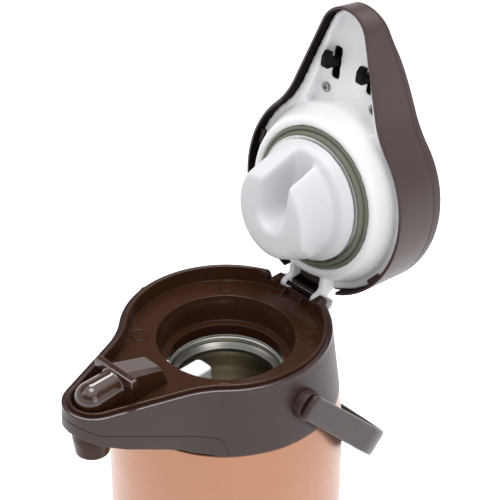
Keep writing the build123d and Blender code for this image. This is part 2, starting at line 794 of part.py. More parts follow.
def lid_form(inset):
    """Solid lid with its drafted side, shrunk by the inset, before the top is shaped."""
    return tapered(
        LID, LID_GAP, LID_GROW - inset, LID_HIGH, LID_TOP_GROW - inset
    )


def under_top(drop):
    """Everything below the top surface of the lid, lowered by the drop."""
    with BuildPart() as body:
        with BuildSketch(LID_SIDE):
            with BuildLine():
                crown = [(y, z - drop) for y, z in LID_TOP + LID_TOP_REAR]
                Spline(*crown)
                Polyline(crown[-1], (72, -20), (-128, -20), crown[0])
            make_face()
        extrude(amount=80, both=True)
    return body.part


BELOW_SEAM = side_slab(LID_SIDE, LID_SEAM + [(75, -20), (-130, -20)], 80)
LID_OUTER = lid_form(0.0)
LID_INNER = lid_form(LID_WALL)

with BuildPart() as lid_shell:
    add(LID_OUTER)
    add(BELOW_SEAM, mode=Mode.INTERSECT)
    add(LID_INNER, mode=Mode.SUBTRACT)
    for x0, x1 in ((-NOTCH, -ARM_IN + 0.3), (ARM_IN - 0.3, NOTCH)):
        add(block(LID, x0, x1, 50, 80, -2, 9), mode=Mode.SUBTRACT)
    add(block(LID, 0.6 - ARM_IN, ARM_IN - 0.6, 58.5, 64.5, 3, 5))
    add(block(LID, 0.6 - ARM_IN, ARM_IN - 0.6, 63.7, 66.4, -4.45, 5))
    # Snap tabs under the edge of the inner plate.
    for angle in (-166, -14, 40, 140):
        tab = Plane(
            origin=LID.origin,
            x_dir=LID.x_dir * cos(radians(angle)) + LID.y_dir * sin(radians(angle)),
            z_dir=LID.z_dir,
        )
        add(block(tab, 60.6, 64.6, -5.5, 5.5, PLATE_H - 1.8, PLATE_H))
lid_shell.part.label = "lid_shell"
export_step(lid_shell.part, "parts/lid_shell.step")

PLATE_SCREW = (19.9, -63.3)
with BuildPart() as lid_top_cover:
    add(LID_OUTER)
    add(BELOW_SEAM, mode=Mode.SUBTRACT)
    add(under_top(0.0), mode=Mode.INTERSECT)
    with BuildPart(mode=Mode.PRIVATE) as cover_room:
        add(LID_INNER)
        add(under_top(WALL), mode=Mode.INTERSECT)
    add(cover_room.part, mode=Mode.SUBTRACT)
    with BuildPart(mode=Mode.PRIVATE) as guide:
        add(ring(LID, 26, 44, BUTTON_R + 2.5, BUTTON_R + 0.5))
        for x in (-PLATE_SCREW[0], PLATE_SCREW[0]):
            add(rod(LID, x, PLATE_SCREW[1], 4.0, POCKET_H + POCKET_T, 44))
        for x in (-20.6, 18.6):
            add(block(LID, x, x + 2, -92, -84, 19, 44))
        add(under_top(1.0), mode=Mode.INTERSECT)
    add(guide.part)
    add(ring(LID, 20, 60, BUTTON_R + 0.5), mode=Mode.SUBTRACT)
    for x in (-PLATE_SCREW[0], PLATE_SCREW[0]):
        add(rod(LID, x, PLATE_SCREW[1], 1.5, 10, 28), mode=Mode.SUBTRACT)
    add(rod(LID_SIDE, LATCH_Y, LATCH_H, 1.5, -30, 30), mode=Mode.SUBTRACT)
    # Opening for the latch tab.
    add(block(LID, -12.5, 12.5, -105, -91, 10, 60), mode=Mode.SUBTRACT)
lid_top_cover.part.label = "lid_top_cover"
export_step(lid_top_cover.part, "parts/lid_top_cover.step")

# Inner plate: flat edge, pocket toward the spout, torus round the stopper, hinge arms.
POCKET = [(-29, -50), (-28.5, -56), (-21.6, -78), (-15.4, -102.5), (-11.5, -115), (-6, -119.5)]


def pocket_outline(grow):
    """Pocket of the inner plate toward the spout, grown outward."""
    left = [(x - grow, y) for x, y in POCKET]
    left[0] = (POCKET[0][0] - grow, POCKET[0][1] + 2)
    left[-1] = (POCKET[-1][0] - grow, POCKET[-1][1] - grow)
    right = [(-x, y) for x, y in reversed(left)]
    with BuildSketch(Plane.XY) as shape:
        with BuildLine():
            Polyline(*left, *right, close=True)
        make_face()
    return shape.sketch_local


# Side view of a hinge arm, curling under the pin.
ARM = [(54, 8.5), (54, -3.4), (61.4, -3.9), (62.9, -6), (63.3, -8.3), (65.4, -10.3)]
ARM += [(68.2, -10.8), (71.2, -9.8), (73.5, -7.6), (73.8, -5.4), (71, -4), (69.3, -2)]
ARM += [(68.2, 1), (66, 4.5), (63.3, 8.5)]

with BuildPart() as lid_inner_plate:
    add(tapered(LID, PLATE_H, LID_GROW - LID_WALL - 0.25, PLATE_H + PLATE_T, -2.85))
    with BuildPart(mode=Mode.PRIVATE) as pocket_wall:
        with BuildSketch(LID.offset(PLATE_H)):
            add(pocket_outline(POCKET_T))
        extrude(amount=POCKET_H + POCKET_T - PLATE_H)
        add(lid_form(LID_WALL + 0.3), mode=Mode.INTERSECT)
    add(pocket_wall.part)
    with BuildSketch(LID.offset(PLATE_H - 1)):
        add(pocket_outline(0))
    extrude(amount=POCKET_H - PLATE_H + 1, mode=Mode.SUBTRACT)
    add(
        turned(
            LID_FRONT,
            LID_AXIS,
            [
                (0, 18),
                (58.5, 18),
                (58.5, PLATE_H),
                (54.5, -2.2),
                (52.6, -6.6),
                (50.4, -8.3),
                (48.2, -8.3),
                (46.5, -7.7),
                (46.5, ANNULUS_H),
                (0, ANNULUS_H),
            ],
        )
    )
    add(
        turned(
            LID_FRONT,
            LID_AXIS,
            [
                (0, 30),
                (57.0, 30),
                (57.0, PLATE_H + PLATE_T),
                (52.9, -1.8),
                (51.2, -5.8),
                (50.0, -6.5),
                (48.6, -6.5),
                (48.4, ANNULUS_H + 2),
                (0, ANNULUS_H + 2),
            ],
        ),
        mode=Mode.SUBTRACT,
    )
    add(ring(LID, -20, 20, 36.3), mode=Mode.SUBTRACT)
    # The band outside the torus at the rear stays at plate height.
    add(block(LID, -70, 70, -50, 70, PLATE_H + PLATE_T, 30), mode=Mode.SUBTRACT)
    # Slots for the latch hooks and holes for the screws.
    for x in (-14.4, 14.4):
        add(block(LID, x - 2.9, x + 2.9, -92.3, -71.2, 10, 20), mode=Mode.SUBTRACT)
    for x in (-PLATE_SCREW[0], PLATE_SCREW[0]):
        add(rod(LID, x, PLATE_SCREW[1], 1.7, 10, 20), mode=Mode.SUBTRACT)
    # Arms and curved shields of the hinge.
    add(block(LID, 0.1 - ARM_IN, ARM_IN - 0.1, 57.5, 80, -10, 20), mode=Mode.SUBTRACT)
    for x0, x1 in ((-ARM_OUT, -ARM_IN), (ARM_IN, ARM_OUT)):
        with BuildSketch(LID_SIDE.offset(x0)):
            with BuildLine():
                Polyline(*ARM, close=True)
            make_face()
        extrude(amount=x1 - x0)
    for x0, x1 in ((-22, -ARM_OUT + 0.5), (ARM_OUT - 0.5, 22)):
        with BuildSketch(LID_SIDE.offset(x0)):
            with BuildLine():
                ThreePointArc(
                    (HINGE_Y + 7.6, HINGE_H),
                    (HINGE_Y + 7.6 * cos(radians(50)), HINGE_H + 7.6 * sin(radians(50))),
                    (HINGE_Y - 1.3, HINGE_H + 7.49),
                )
                Line((HINGE_Y - 1.3, HINGE_H + 7.49), (HINGE_Y - 1.1, HINGE_H + 6.1))
                ThreePointArc(
                    (HINGE_Y - 1.1, HINGE_H + 6.1),
                    (HINGE_Y + 6.2 * cos(radians(50)), HINGE_H + 6.2 * sin(radians(50))),
                    (HINGE_Y + 6.2, HINGE_H),
                )
                Line((HINGE_Y + 6.2, HINGE_H), (HINGE_Y + 7.6, HINGE_H))
            make_face()
        extrude(amount=x1 - x0)
    add(rod(LID_SIDE, HINGE_Y, HINGE_H, PIN_R + 0.05, -30, 30), mode=Mode.SUBTRACT)
lid_inner_plate.part.label = "lid_inner_plate"
export_step(lid_inner_plate.part, "parts/lid_inner_plate.step")

with BuildPart() as plate_screws:
    for x in (-PLATE_SCREW[0], PLATE_SCREW[0]):
        add(rod(LID, x, PLATE_SCREW[1], 3.25, POCKET_H - 1.6, POCKET_H))
        add(rod(LID, x, PLATE_SCREW[1], 1.5, POCKET_H, 26))
plate_screws.part.label = "plate_screws"
export_step(plate_screws.part, "parts/plate_screws.step")

# Stopper that hangs in the flask neck: slot that clears the dip tube head, sloping face
# toward the spout and a recess on the right, all ending at one shelf.
PLUG_SHELF_H = -19.5
SLOT_X = -2.6
SLOT_HALF = 11.1
SLOT_DRAFT = 3.4
SLOPE_Y = -19.2
SLOPE_RUN = 0.7
SLOPE_TURN = -7.4


def slot(grow):
    """Slot across the end of the stopper toward the spout, narrower at its floor."""
    deep = SLOT_HALF - SLOT_DRAFT + grow
    with BuildPart() as body:
        with BuildSketch(LID.offset(PLUG_END - 1)):
            with Locations((SLOT_X, -22)):
                Rectangle(2 * (SLOT_HALF + grow), 50)
            with Locations((SLOT_X, 3)):
                Circle(SLOT_HALF + grow)
        with BuildSketch(LID.offset(PLUG_SHELF_H + grow)):
            with Locations((SLOT_X + SLOT_DRAFT - 0.4, -23)):
                Rectangle(2 * deep, 50)
            with Locations((SLOT_X + SLOT_DRAFT - 0.4, 2)):
                Circle(deep)
        loft(ruled=True)
    return body.part


def sloping_cut(inset):
    """Everything beyond the sloping face toward the spout, moved inward by the inset."""
    near = SLOPE_Y + inset
    far = near - SLOPE_RUN * (8 - PLUG_END)
    points = [(near + SLOPE_RUN * 2, PLUG_END - 2), (far, 8), (-60, 8), (-60, PLUG_END - 2)]
    return side_slab(LID_SIDE, points, 60).rotate(LID_AXIS, SLOPE_TURN)


def side_recess(inset):
    """Recess on the right of the slot, outside a slanted round wall."""
    with BuildPart() as body:
        add(block(LID, SLOT_X + SLOT_HALF - 1, 60, -50, 50, PLUG_END - 2, PLUG_SHELF_H + inset))
        with BuildPart(mode=Mode.PRIVATE) as core:
            with BuildSketch(LID.offset(PLUG_END - 2)):
                with Locations((-19.4, 16.6)):
                    Circle(46.6 - inset)
            with BuildSketch(LID.offset(PLUG_SHELF_H + inset)):
                with Locations((-8, 2)):
                    Circle(36.5 - inset)
            loft(ruled=True)
        add(core.part, mode=Mode.SUBTRACT)
    return body.part


with BuildPart() as stopper:
    add(
        turned(
            LID_FRONT,
            LID_AXIS,
            [
                (0, PLUG_END),
                (PLUG_R, PLUG_END),
                (NECK_TUBE_R, PLUG_SHELF_H),
                (PLUG_TOP_R, -13.7),
                (40.2, -13.7),
                (40.2, -11.3),
                (NECK_TUBE_R, -11.3),
                (NECK_TUBE_R, 1),
                (0, 1),
            ],
        )
    )
    with BuildPart(mode=Mode.PRIVATE) as plug_room:
        add(
            turned(
                LID_FRONT,
                LID_AXIS,
                [
                    (0, PLUG_END + 2.2),
                    (PLUG_R - 2.4, PLUG_END + 2.2),
                    (31, PLUG_SHELF - 4),
                    (26.5, PLUG_SHELF - 2),
                    (26.5, PLUG_SHELF),
                    (34, PLUG_SHELF),
                    (34, 5),
                    (0, 5),
                ],
            )
        )
        add(slot(2.0), mode=Mode.SUBTRACT)
        with BuildPart(mode=Mode.PRIVATE) as cuts:
            add(sloping_cut(2.6))
            add(side_recess(2.2))
            add(block(LID, -60, 60, -60, 60, -60, PLUG_SHELF_H + 2.0), mode=Mode.INTERSECT)
        add(cuts.part, mode=Mode.SUBTRACT)
    add(plug_room.part, mode=Mode.SUBTRACT)
    add(slot(0.0), mode=Mode.SUBTRACT)
    with BuildPart(mode=Mode.PRIVATE) as face_cuts:
        add(sloping_cut(0.0))
        add(side_recess(0.0))
        add(block(LID, -60, 60, -60, 60, -60, PLUG_SHELF_H), mode=Mode.INTERSECT)
    add(face_cuts.part, mode=Mode.SUBTRACT)
    add(rod(LID, SLOT_X, 4, 2.5, -25, -10), mode=Mode.SUBTRACT)
stopper.part.label = "stopper"
export_step(stopper.part, "parts/stopper.step")

with BuildPart() as stopper_ring_nut:
    add(ring(LID, ANNULUS_H + 2, 1, 40.5, NECK_TUBE_R))
stopper_ring_nut.part.label = "stopper_ring_nut"
export_step(stopper_ring_nut.part, "parts/stopper_ring_nut.step")

with BuildPart() as lid_gasket:
    add(
        turned(
            LID_FRONT,
            LID_AXIS,
            [
                (NECK_TUBE_R, ANNULUS_H),
                (46.4, ANNULUS_H),
                (46.4, -7.6),
                (45.6, -8.4),
                (43.6, -8.4),
                (43.2, -9.8),
                (42.6, -10.6),
                (40.5, -10.6),
                (40.2, -10.7),
                (NECK_TUBE_R, -10.7),
            ],
        )
    )
lid_gasket.part.label = "lid_gasket"
export_step(lid_gasket.part, "parts/lid_gasket.step")

with BuildPart() as gasket_ring:
    add(ring(LID, -11.3, -10.7, 41.2, NECK_TUBE_R))
gasket_ring.part.label = "gasket_ring"
export_step(gasket_ring.part, "parts/gasket_ring.step")

# Pump: folded bellows, return spring, valves and the plate that presses them.
PISTON_H = 27.0
FOLDS = 6
INTAKE_X = 19.0
with BuildPart() as bellows:
    with BuildSketch(LID_FRONT):
        with BuildLine():
            step = (PISTON_H - PLUG_SHELF) / (2 * FOLDS)
            zigzag = [
                (33.2 if i % 2 == 0 else 27.2, PLUG_SHELF + 0.6 + i * (step - 0.1))
                for i in range(2 * FOLDS + 1)
            ]
            back = [(r - 0.9, z) for r, z in reversed(zigzag)]
            back[-1] = (27, PLUG_SHELF + 0.8)
            Polyline((33.2, PLUG_SHELF), *zigzag, *back, (27, PLUG_SHELF), close=True)
        make_face()
    revolve(axis=LID_AXIS)
bellows.part.label = "bellows"
export_step(bellows.part, "parts/bellows.step")

with BuildPart() as bellows_spring:
    seat = LID.offset(PLUG_SHELF_H + 2.9)
    add(coil(5, PISTON_H - PLUG_SHELF_H - 3.9, 11, 0.8).located(seat.location))
bellows_spring.part.label = "bellows_spring"
export_step(bellows_spring.part, "parts/bellows_spring.step")

with BuildPart() as exit_valve:
    add(rod(LID, SLOT_X, 4, 4.3, PLUG_SHELF_H + 2.0, PLUG_SHELF_H + 3.2))
exit_valve.part.label = "exit_valve"
export_step(exit_valve.part, "parts/exit_valve.step")

with BuildPart() as push_piston:
    add(ring(LID, PISTON_H, PISTON_H + 2.4, 33.2))
    add(rod(LID, INTAKE_X, 0, 3, 20, 40), mode=Mode.SUBTRACT)
push_piston.part.label = "push_piston"
export_step(push_piston.part, "parts/push_piston.step")

with BuildPart() as intake_valve:
    add(rod(LID, INTAKE_X, 0, 5.5, PISTON_H - 1.2, PISTON_H))
intake_valve.part.label = "intake_valve"
export_step(intake_valve.part, "parts/intake_valve.step")

BUTTON_TOP = 41.0
with BuildPart() as push_plate:
    add(ring(LID, 28.5, BUTTON_TOP, BUTTON_R))
    crown = push_plate.edges().filter_by(GeomType.CIRCLE).sort_by_distance(
        LID.from_local_coords((0, 0, BUTTON_TOP + 60))
    )[0]
    fillet(crown, radius=2.0)
    add(ring(LID, 20, BUTTON_TOP - 2.4, BUTTON_R - 2), mode=Mode.SUBTRACT)
    add(ring(LID, PISTON_H + 2.4, BUTTON_TOP - 2, 9))
push_plate.part.label = "push_plate"
export_step(push_plate.part, "parts/push_plate.step")

# Latch: one lever with a finger tab in front and two hooks, on a pin with a spring.
TAB_TOP = [(-91.6, 29.2), (-98, 27.3), (-104.3, 24.5)]
with BuildPart() as latch_lever:
    for x0, x1 in ((-18, -6), (6, 18)):
        add(rod(LID_SIDE, LATCH_Y, LATCH_H, 3.4, x0, x1))
    with BuildSketch(LID_SIDE.offset(-12)):
        with BuildLine():
            Polyline(
                *TAB_TOP,
                (-104.3, 22.4),
                (-98, 24.6),
                (-92.5, 24.6),
                (-91, 21),
                (-89.5, 24.4),
                (-89.5, 25.4),
                (-91.4, 26.2),
                close=True,
            )
        make_face()
    extrude(amount=24)
    for x0, x1 in ((-16.9, -12), (12, 16.9)):
        with BuildSketch(LID_SIDE.offset(x0)):
            with BuildLine():
                Polyline(
                    (LATCH_Y - 1, LATCH_H),
                    (LATCH_Y + 3, LATCH_H),
                    (-80.6, 16),
                    (-80.6, 3.8),
                    (-82, 2.4),
                    (-88.5, 2.4),
                    (-91.6, 4.8),
                    (-91.6, 7.6),
                    (-85.6, 7.6),
                    (-85.6, 14.5),
                    close=True,
                )
            make_face()
        extrude(amount=x1 - x0)
    add(rod(LID_SIDE, LATCH_Y, LATCH_H, 1.55, -30, 30), mode=Mode.SUBTRACT)
    add(rod(LID_SIDE, LATCH_Y, LATCH_H, 3.9, -5.9, 5.9), mode=Mode.SUBTRACT)
latch_lever.part.label = "latch_lever"
export_step(latch_lever.part, "parts/latch_lever.step")

with BuildPart() as latch_pin:
    add(rod(LID_SIDE, LATCH_Y, LATCH_H, 1.5, -20.6, 20.6))
latch_pin.part.label = "latch_pin"
export_step(latch_pin.part, "parts/latch_pin.step")

with BuildPart() as latch_spring:
    winding = Plane(
        origin=LID_SIDE.from_local_coords((LATCH_Y, LATCH_H, -4.5)),
        x_dir=LID_SIDE.x_dir,
        z_dir=LID_SIDE.z_dir,
    )
    add(coil(5, 9, 2.4, 0.45).located(winding.location))
latch_spring.part.label = "latch_spring"
export_step(latch_spring.part, "parts/latch_spring.step")
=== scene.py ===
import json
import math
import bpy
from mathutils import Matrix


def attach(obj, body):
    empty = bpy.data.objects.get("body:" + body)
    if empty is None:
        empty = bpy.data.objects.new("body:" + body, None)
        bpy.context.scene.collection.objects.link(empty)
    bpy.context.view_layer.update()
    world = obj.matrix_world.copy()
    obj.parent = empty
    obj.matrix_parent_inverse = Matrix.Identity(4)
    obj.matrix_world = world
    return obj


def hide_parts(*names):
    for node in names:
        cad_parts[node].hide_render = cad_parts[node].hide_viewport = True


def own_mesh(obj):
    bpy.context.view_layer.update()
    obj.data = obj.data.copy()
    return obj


bl_info = {
    "name": "Pump Air Pot",
    "version": (1, 0, 0),
    "blender": (4, 5, 0),
    "location": "View3D > Sidebar > Air Pot",
    "description": "Finishes and detail pieces of a pump air pot with a hinged lid",
    "category": "Object",
}

import bmesh
import bpy
from mathutils import Matrix, Vector
from mathutils.bvhtree import BVHTree

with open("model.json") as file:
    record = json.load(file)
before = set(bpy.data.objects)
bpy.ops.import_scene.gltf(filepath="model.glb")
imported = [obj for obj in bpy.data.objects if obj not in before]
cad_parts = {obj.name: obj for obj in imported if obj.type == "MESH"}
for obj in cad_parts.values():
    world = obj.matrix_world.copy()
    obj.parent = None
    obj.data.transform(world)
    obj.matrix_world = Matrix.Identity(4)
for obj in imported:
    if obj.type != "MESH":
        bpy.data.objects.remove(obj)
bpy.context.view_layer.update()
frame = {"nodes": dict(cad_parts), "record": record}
BODIES = frame["record"]["behaviour"]["bodies"]
BODY_OF = {node: body for body, nodes in BODIES.items() for node in nodes}
SLOT_OF = {p["node"]: p["material_slot"] for p in frame["record"]["subparts"]}

MM = 0.001

# Measures of the pot in millimetres; heights with h are over the rim.
RIM = 270.0
HINGE_Y, HINGE_H = 67.0, -6.3
OPEN = math.radians(98.0)
PLATE_SCREW_Y, PLATE_SCREW_H = -63.3, 13.25
PLATE_SCREW_RADIUS = 19.9
BASE_SCREW_Z = 8.25
BASE_SCREW_RADIUS = 68.0
CAP_H = -8.8
CAP_RADIUS = 38.0 * math.sqrt(2)
FIRST_OF_FOUR = math.radians(45.0)
# Ends of the lid's middle line, from the nose to the centre of its round part.
LID_NOSE_Y, LID_MIDDLE_Y = -105.0, 20.0

# Ring seal as (radius, height) in the shut lid: its foot, outer lip, groove, inner lip.
SEAL_PROFILE = (
    (36.3, -4.15),
    (46.35, -4.15),
    (46.35, -7.5),
    (46.1, -8.1),
    (45.5, -8.35),
    (44.2, -8.35),
    (43.9, -7.4),
    (43.4, -7.4),
    (43.3, -9.2),
    (43.0, -10.1),
    (42.3, -10.6),
    (41.0, -10.65),
    (39.6, -10.3),
    (39.2, -9.6),
    (36.3, -9.6),
)
# Plug over a deck screw, with a low rounded rim round its flat top.
CAP_PROFILE = (
    (0.05, -1.2),
    (5.85, -1.2),
    (5.85, 0),
    (5.6, 0.14),
    (5.4, 0.15),
    (0.05, 0.15),
)

PLASTIC_IOR = 1.49
SILICONE_IOR = 1.41
# Where a noise pattern mostly lies between 0 and 1, and where its tones turn.
NOISE_REACH = (0.3, 0.7)
TONE_STOPS = (0.35, 0.65)
# Roughness of a polished rim as a share of its finish's own.
RIM_POLISH = 0.3

# Camera and studio, in metres, degrees and watts.
CAMERA_SPOT = (0.67966, -0.64723, 0.96350)
CAMERA_TURN = (55.8222, -0.3631, 45.7515)
SENSOR_MM = 36.0
LAMP_TARGET = (0, 0, 0.28)
# Each lamp's place, width, height and power.
LAMPS = {
    "key_lamp": ((-0.9, -1.3, 1.5), 0.9, 0.9, 3),
    "fill_lamp": ((1.5, -0.4, 0.9), 0.8, 1.2, 4.5),
    "rim_lamp": ((0.2, 1.4, 1.3), 1.2, 0.6, 4),
    "top_lamp": ((0.0, -0.05, 1.7), 0.6, 0.6, 6),
    "back_lamp": ((-0.8, 0.6, 1.55), 0.5, 0.4, 5),
}
# Light of the room by the height of the direction, as shares of its brightest:
# a bright sweep round the table, dim walls over it and a bright ceiling.
ROOM_LIGHT = ((0.0, 0.6), (0.3, 0.6), (0.45, 0.12), (0.65, 0.12), (0.85, 1.0))
ROOM_STRENGTH = 1.4
FLOOR_GLOW = 0.45
WHITE = (1, 1, 1, 1)


# ---------------------------------------------------------------- helpers


def linear(hex_colour):
    """Turns an sRGB hex colour into the linear values that shaders take."""
    digits = hex_colour.lstrip("#")
    channels = []
    for i in (0, 2, 4):
        c = int(digits[i : i + 2], 16) / 255
        channels.append(c / 12.92 if c <= 0.04045 else ((c + 0.055) / 1.055) ** 2.4)
    return (*channels, 1.0)


def lid_point(x, y, h):
    """Point of the lid, which is drawn shut and stands open at rest."""
    dy, dz = y - HINGE_Y, h - HINGE_H
    c, s = math.cos(OPEN), math.sin(OPEN)
    return Vector((x, HINGE_Y + dy * c + dz * s, RIM + HINGE_H - dy * s + dz * c)) * MM


def lid_matrix():
    """Takes millimetres of the shut lid to metres of the open one."""
    spot = lid_point(0, 0, 0)
    sides = [lid_point(*axis) - spot for axis in ((1, 0, 0), (0, 1, 0), (0, 0, 1))]
    made = Matrix.Identity(4)
    for column, side in enumerate([*sides, spot]):
        for row in range(3):
            made[row][column] = side[row]
    return made


def add_node(tree, kind, settings=None, links=None, place=(0, 0), **values):
    """Adds one node, sets it up, links its inputs and sets the others' values."""
    made = tree.nodes.new(kind)
    made.location = place
    for name, value in (settings or {}).items():
        setattr(made, name, value)
    for name, value in values.items():
        made.inputs[name.replace("_", " ")].default_value = value
    for name, source in (links or {}).items():
        tree.links.new(source, made.inputs[name])
    return made


def colour_property(name, description, default):
    """Colour that a user can change, from its hex value."""
    return bpy.props.FloatVectorProperty(
        name=name,
        description=description,
        subtype="COLOR",
        size=4,
        min=0.0,
        max=1.0,
        default=linear(default),
    )


# ---------------------------------------------------------------- finishes


class PotColours(bpy.types.PropertyGroup):
    """Colours of the materials."""

    copper: colour_property("Copper lacquer", "Lacquered steel casing", "#AC7A5E")
    brown: colour_property("Satin brown", "Shoulder, handle and push plate", "#372624")
    # Lighter than the satin brown of the same plastic: painted light on the lid.
    lid_brown: colour_property("Lid brown", "Wall and cover of the lid", "#44322F")
    deck_brown: colour_property("Glossy brown", "Deck, pipe cover and spout", "#3D2418")
    white: colour_property("Off-white", "Inner plate of the lid and pump", "#F4F4F6")
    # Greyer than the white of the same plastic: painted shade on the stopper.
    stopper: colour_property("Stopper white", "Stopper", "#D9DADD")
    steel: colour_property("Flask steel", "Spun flask", "#D8D6CE")
    seal: colour_property("Seal", "Ring seal round the stopper", "#707163")


def uneven_finish(
    name, colour, swing, tone, gloss, rough, bump, relief_of="gloss", squeeze=None, **shader
):
    """Material whose colour and roughness each wander with a noise pattern.

    tone and gloss give each pattern's repeats per metre, detail and roughness. swing is
    the share by which the colour wanders, rough the limits of the roughness, and bump
    the strength and depth of a relief that follows one of the patterns. squeeze gives
    the repeats per metre along each axis for a gloss pattern that is drawn out."""
    made = bpy.data.materials.new(name)
    made.use_nodes = True
    tree = made.node_tree
    tree.nodes.clear()
    where = add_node(tree, "ShaderNodeTexCoord", place=(-900, 0)).outputs["Object"]
    drawn = where
    if squeeze is not None:
        drawn = add_node(
            tree,
            "ShaderNodeMapping",
            links={"Vector": where},
            place=(-750, 0),
            Scale=squeeze,
        ).outputs["Vector"]
    noise = {}
    rows = (("tone", where, tone, 300), ("gloss", drawn, gloss, 0))
    for use, vector, (repeats, detail, harshness), height in rows:
        noise[use] = add_node(
            tree,
            "ShaderNodeTexNoise",
            links={"Vector": vector},
            place=(-600, height),
            Scale=repeats,
            Detail=detail,
            Roughness=harshness,
        ).outputs["Fac"]
    ramp = add_node(
        tree, "ShaderNodeValToRGB", links={"Fac": noise["tone"]}, place=(-300, 200)
    )
    stops = ramp.color_ramp.elements
    for stop, place, share in zip(stops, TONE_STOPS, (1 - swing, 1 + swing)):
        stop.position = place
        stop.color = (*(min(1.0, c * share) for c in colour[:3]), 1.0)
    sheen = add_node(
        tree,
        "ShaderNodeMapRange",
        links={"Value": noise["gloss"]},
        place=(-300, -100),
        From_Min=NOISE_REACH[0],
        From_Max=NOISE_REACH[1],
        To_Min=rough[0],
        To_Max=rough[1],
    )
    relief = add_node(
        tree,
        "ShaderNodeBump",
        links={"Height": noise[relief_of]},
        place=(0, -300),
        Strength=bump[0],
        Distance=bump[1],
    )
    skin = add_node(
        tree,
        "ShaderNodeBsdfPrincipled",
        links={
            "Base Color": ramp.outputs["Color"],
            "Roughness": sheen.outputs["Result"],
            "Normal": relief.outputs["Normal"],
        },
        place=(300, 0),
        **shader,
    )
    add_node(
        tree,
        "ShaderNodeOutputMaterial",
        links={"Surface": skin.outputs["BSDF"]},
        place=(600, 0),
    )
    return made


def share_over(tree, height, depth, low, high, place):
    """Number that turns from low to high as the piece rises through a height."""
    where = tree.nodes["Texture Coordinate"].outputs["Object"]
    split = add_node(
        tree,
        "ShaderNodeSeparateXYZ",
        links={"Vector": where},
        place=(place[0] - 300, place[1]),
    )
    made = add_node(
        tree,
        "ShaderNodeMapRange",
        links={"Value": split.outputs["Z"]},
        place=place,
        From_Min=height,
        From_Max=height + depth,
        To_Min=low,
        To_Max=high,
    )
    return made.outputs["Result"]


def polished_over(finish, height):
    """Polishes a finish over a height, so that rims carry thin bright lines."""
    tree = finish.node_tree
    rough = tree.nodes["Principled BSDF"].inputs["Roughness"]
    share = share_over(tree, height, MM, 1.0, RIM_POLISH, (-300, -400))
    polish = add_node(
        tree,
        "ShaderNodeMath",
        {"operation": "MULTIPLY"},
        {0: rough.links[0].from_socket, 1: share},
        place=(-50, -200),
    )
    tree.links.new(polish.outputs[0], rough)
    return finish


def shaded_below(finish, height, colour):
    """Turns a steel to a darker colour below a height: painted shade deep in a flask."""
    tree = finish.node_tree
    base = tree.nodes["Principled BSDF"].inputs["Base Color"]
    share = share_over(tree, height - 3 * MM, 6 * MM, 1.0, 0.0, (-300, 500))
    deep_shade = add_node(
        tree,
        "ShaderNodeMixRGB",
        links={"Fac": share, "Color1": base.links[0].from_socket},
        place=(0, 400),
        Color2=colour,
    )
    tree.links.new(deep_shade.outputs["Color"], base)
    return finish


def lacquered_copper_steel(colour):
    """Stainless sheet, brushed round the body, under a tinted copper lacquer.

    The eye gets soft vertical reflections, broken by brush lines round the tube."""
    # Clouds of 70 mm in the lacquer. Brush lines 0.1 mm high can't show in the
    # render, so they are drawn 1.1 mm high and 170 mm long.
    return uneven_finish(
        "lacquered_copper_steel",
        colour,
        0.03,
        tone=(14.0, 2.0, 0.5),
        gloss=(1.0, 4.0, 0.6),
        rough=(0.32, 0.42),
        bump=(0.05, 0.1 * MM),
        squeeze=(6.0, 6.0, 900.0),
        Metallic=0.85,
        Coat_Weight=0.6,
        Coat_Roughness=0.25,
    )


def grained_plastic(name, colour, rough):
    """Polypropylene from a spark-eroded mould: fine matte grain, dull soft lights."""
    # Grain of 1.1 mm, where the real one of 0.2 mm can't show; tone in 45 mm clouds.
    return uneven_finish(
        name,
        colour,
        0.06,
        tone=(22.0, 2.0, 0.5),
        gloss=(900.0, 2.0, 0.6),
        rough=(rough - 0.05, rough + 0.06),
        bump=(0.35, 0.05 * MM),
        IOR=PLASTIC_IOR,
    )


def polished_plastic(name, colour, rough=0.1, level=0.5):
    """Polypropylene from a polished mould: sharp lights that slight flow waves bend."""
    # Flow waves 22 mm apart, and a bloom of handling in 4 mm specks.
    return uneven_finish(
        name,
        colour,
        0.05,
        tone=(45.0, 1.5, 0.4),
        gloss=(260.0, 3.0, 0.6),
        rough=(rough - 0.03, rough + 0.05),
        bump=(0.1, 0.4 * MM),
        relief_of="tone",
        IOR=PLASTIC_IOR,
        Specular_IOR_Level=level,
    )


def white_moulded_plastic(name, colour, rough=0.3):
    """Off-white polypropylene: soft sheen, and a little light inside the wall."""
    # Sink waves 17 mm apart under a grain of 1.4 mm.
    return uneven_finish(
        name,
        colour,
        0.015,
        tone=(60.0, 2.0, 0.5),
        gloss=(700.0, 2.0, 0.5),
        rough=(rough - 0.04, rough + 0.06),
        bump=(0.08, 0.3 * MM),
        relief_of="tone",
        IOR=PLASTIC_IOR,
        Subsurface_Weight=0.08,
        Subsurface_Radius=(4 * MM, 4 * MM, 3.5 * MM),
        Subsurface_Scale=1.0,
    )


def turned_steel(name, colour, rough=0.25, rings=700.0):
    """Stainless steel spun or drawn round its axis: fine rings that streak the light."""
    # Rings per metre of height: 700 stands for a groove each 1.4 mm. Stains of 33 mm.
    return uneven_finish(
        name,
        colour,
        0.06,
        tone=(30.0, 3.0, 0.5),
        gloss=(1.0, 3.0, 0.6),
        rough=(rough - 0.06, rough + 0.08),
        bump=(0.1, 0.1 * MM),
        squeeze=(8.0, 8.0, rings),
        Metallic=1.0,
    )


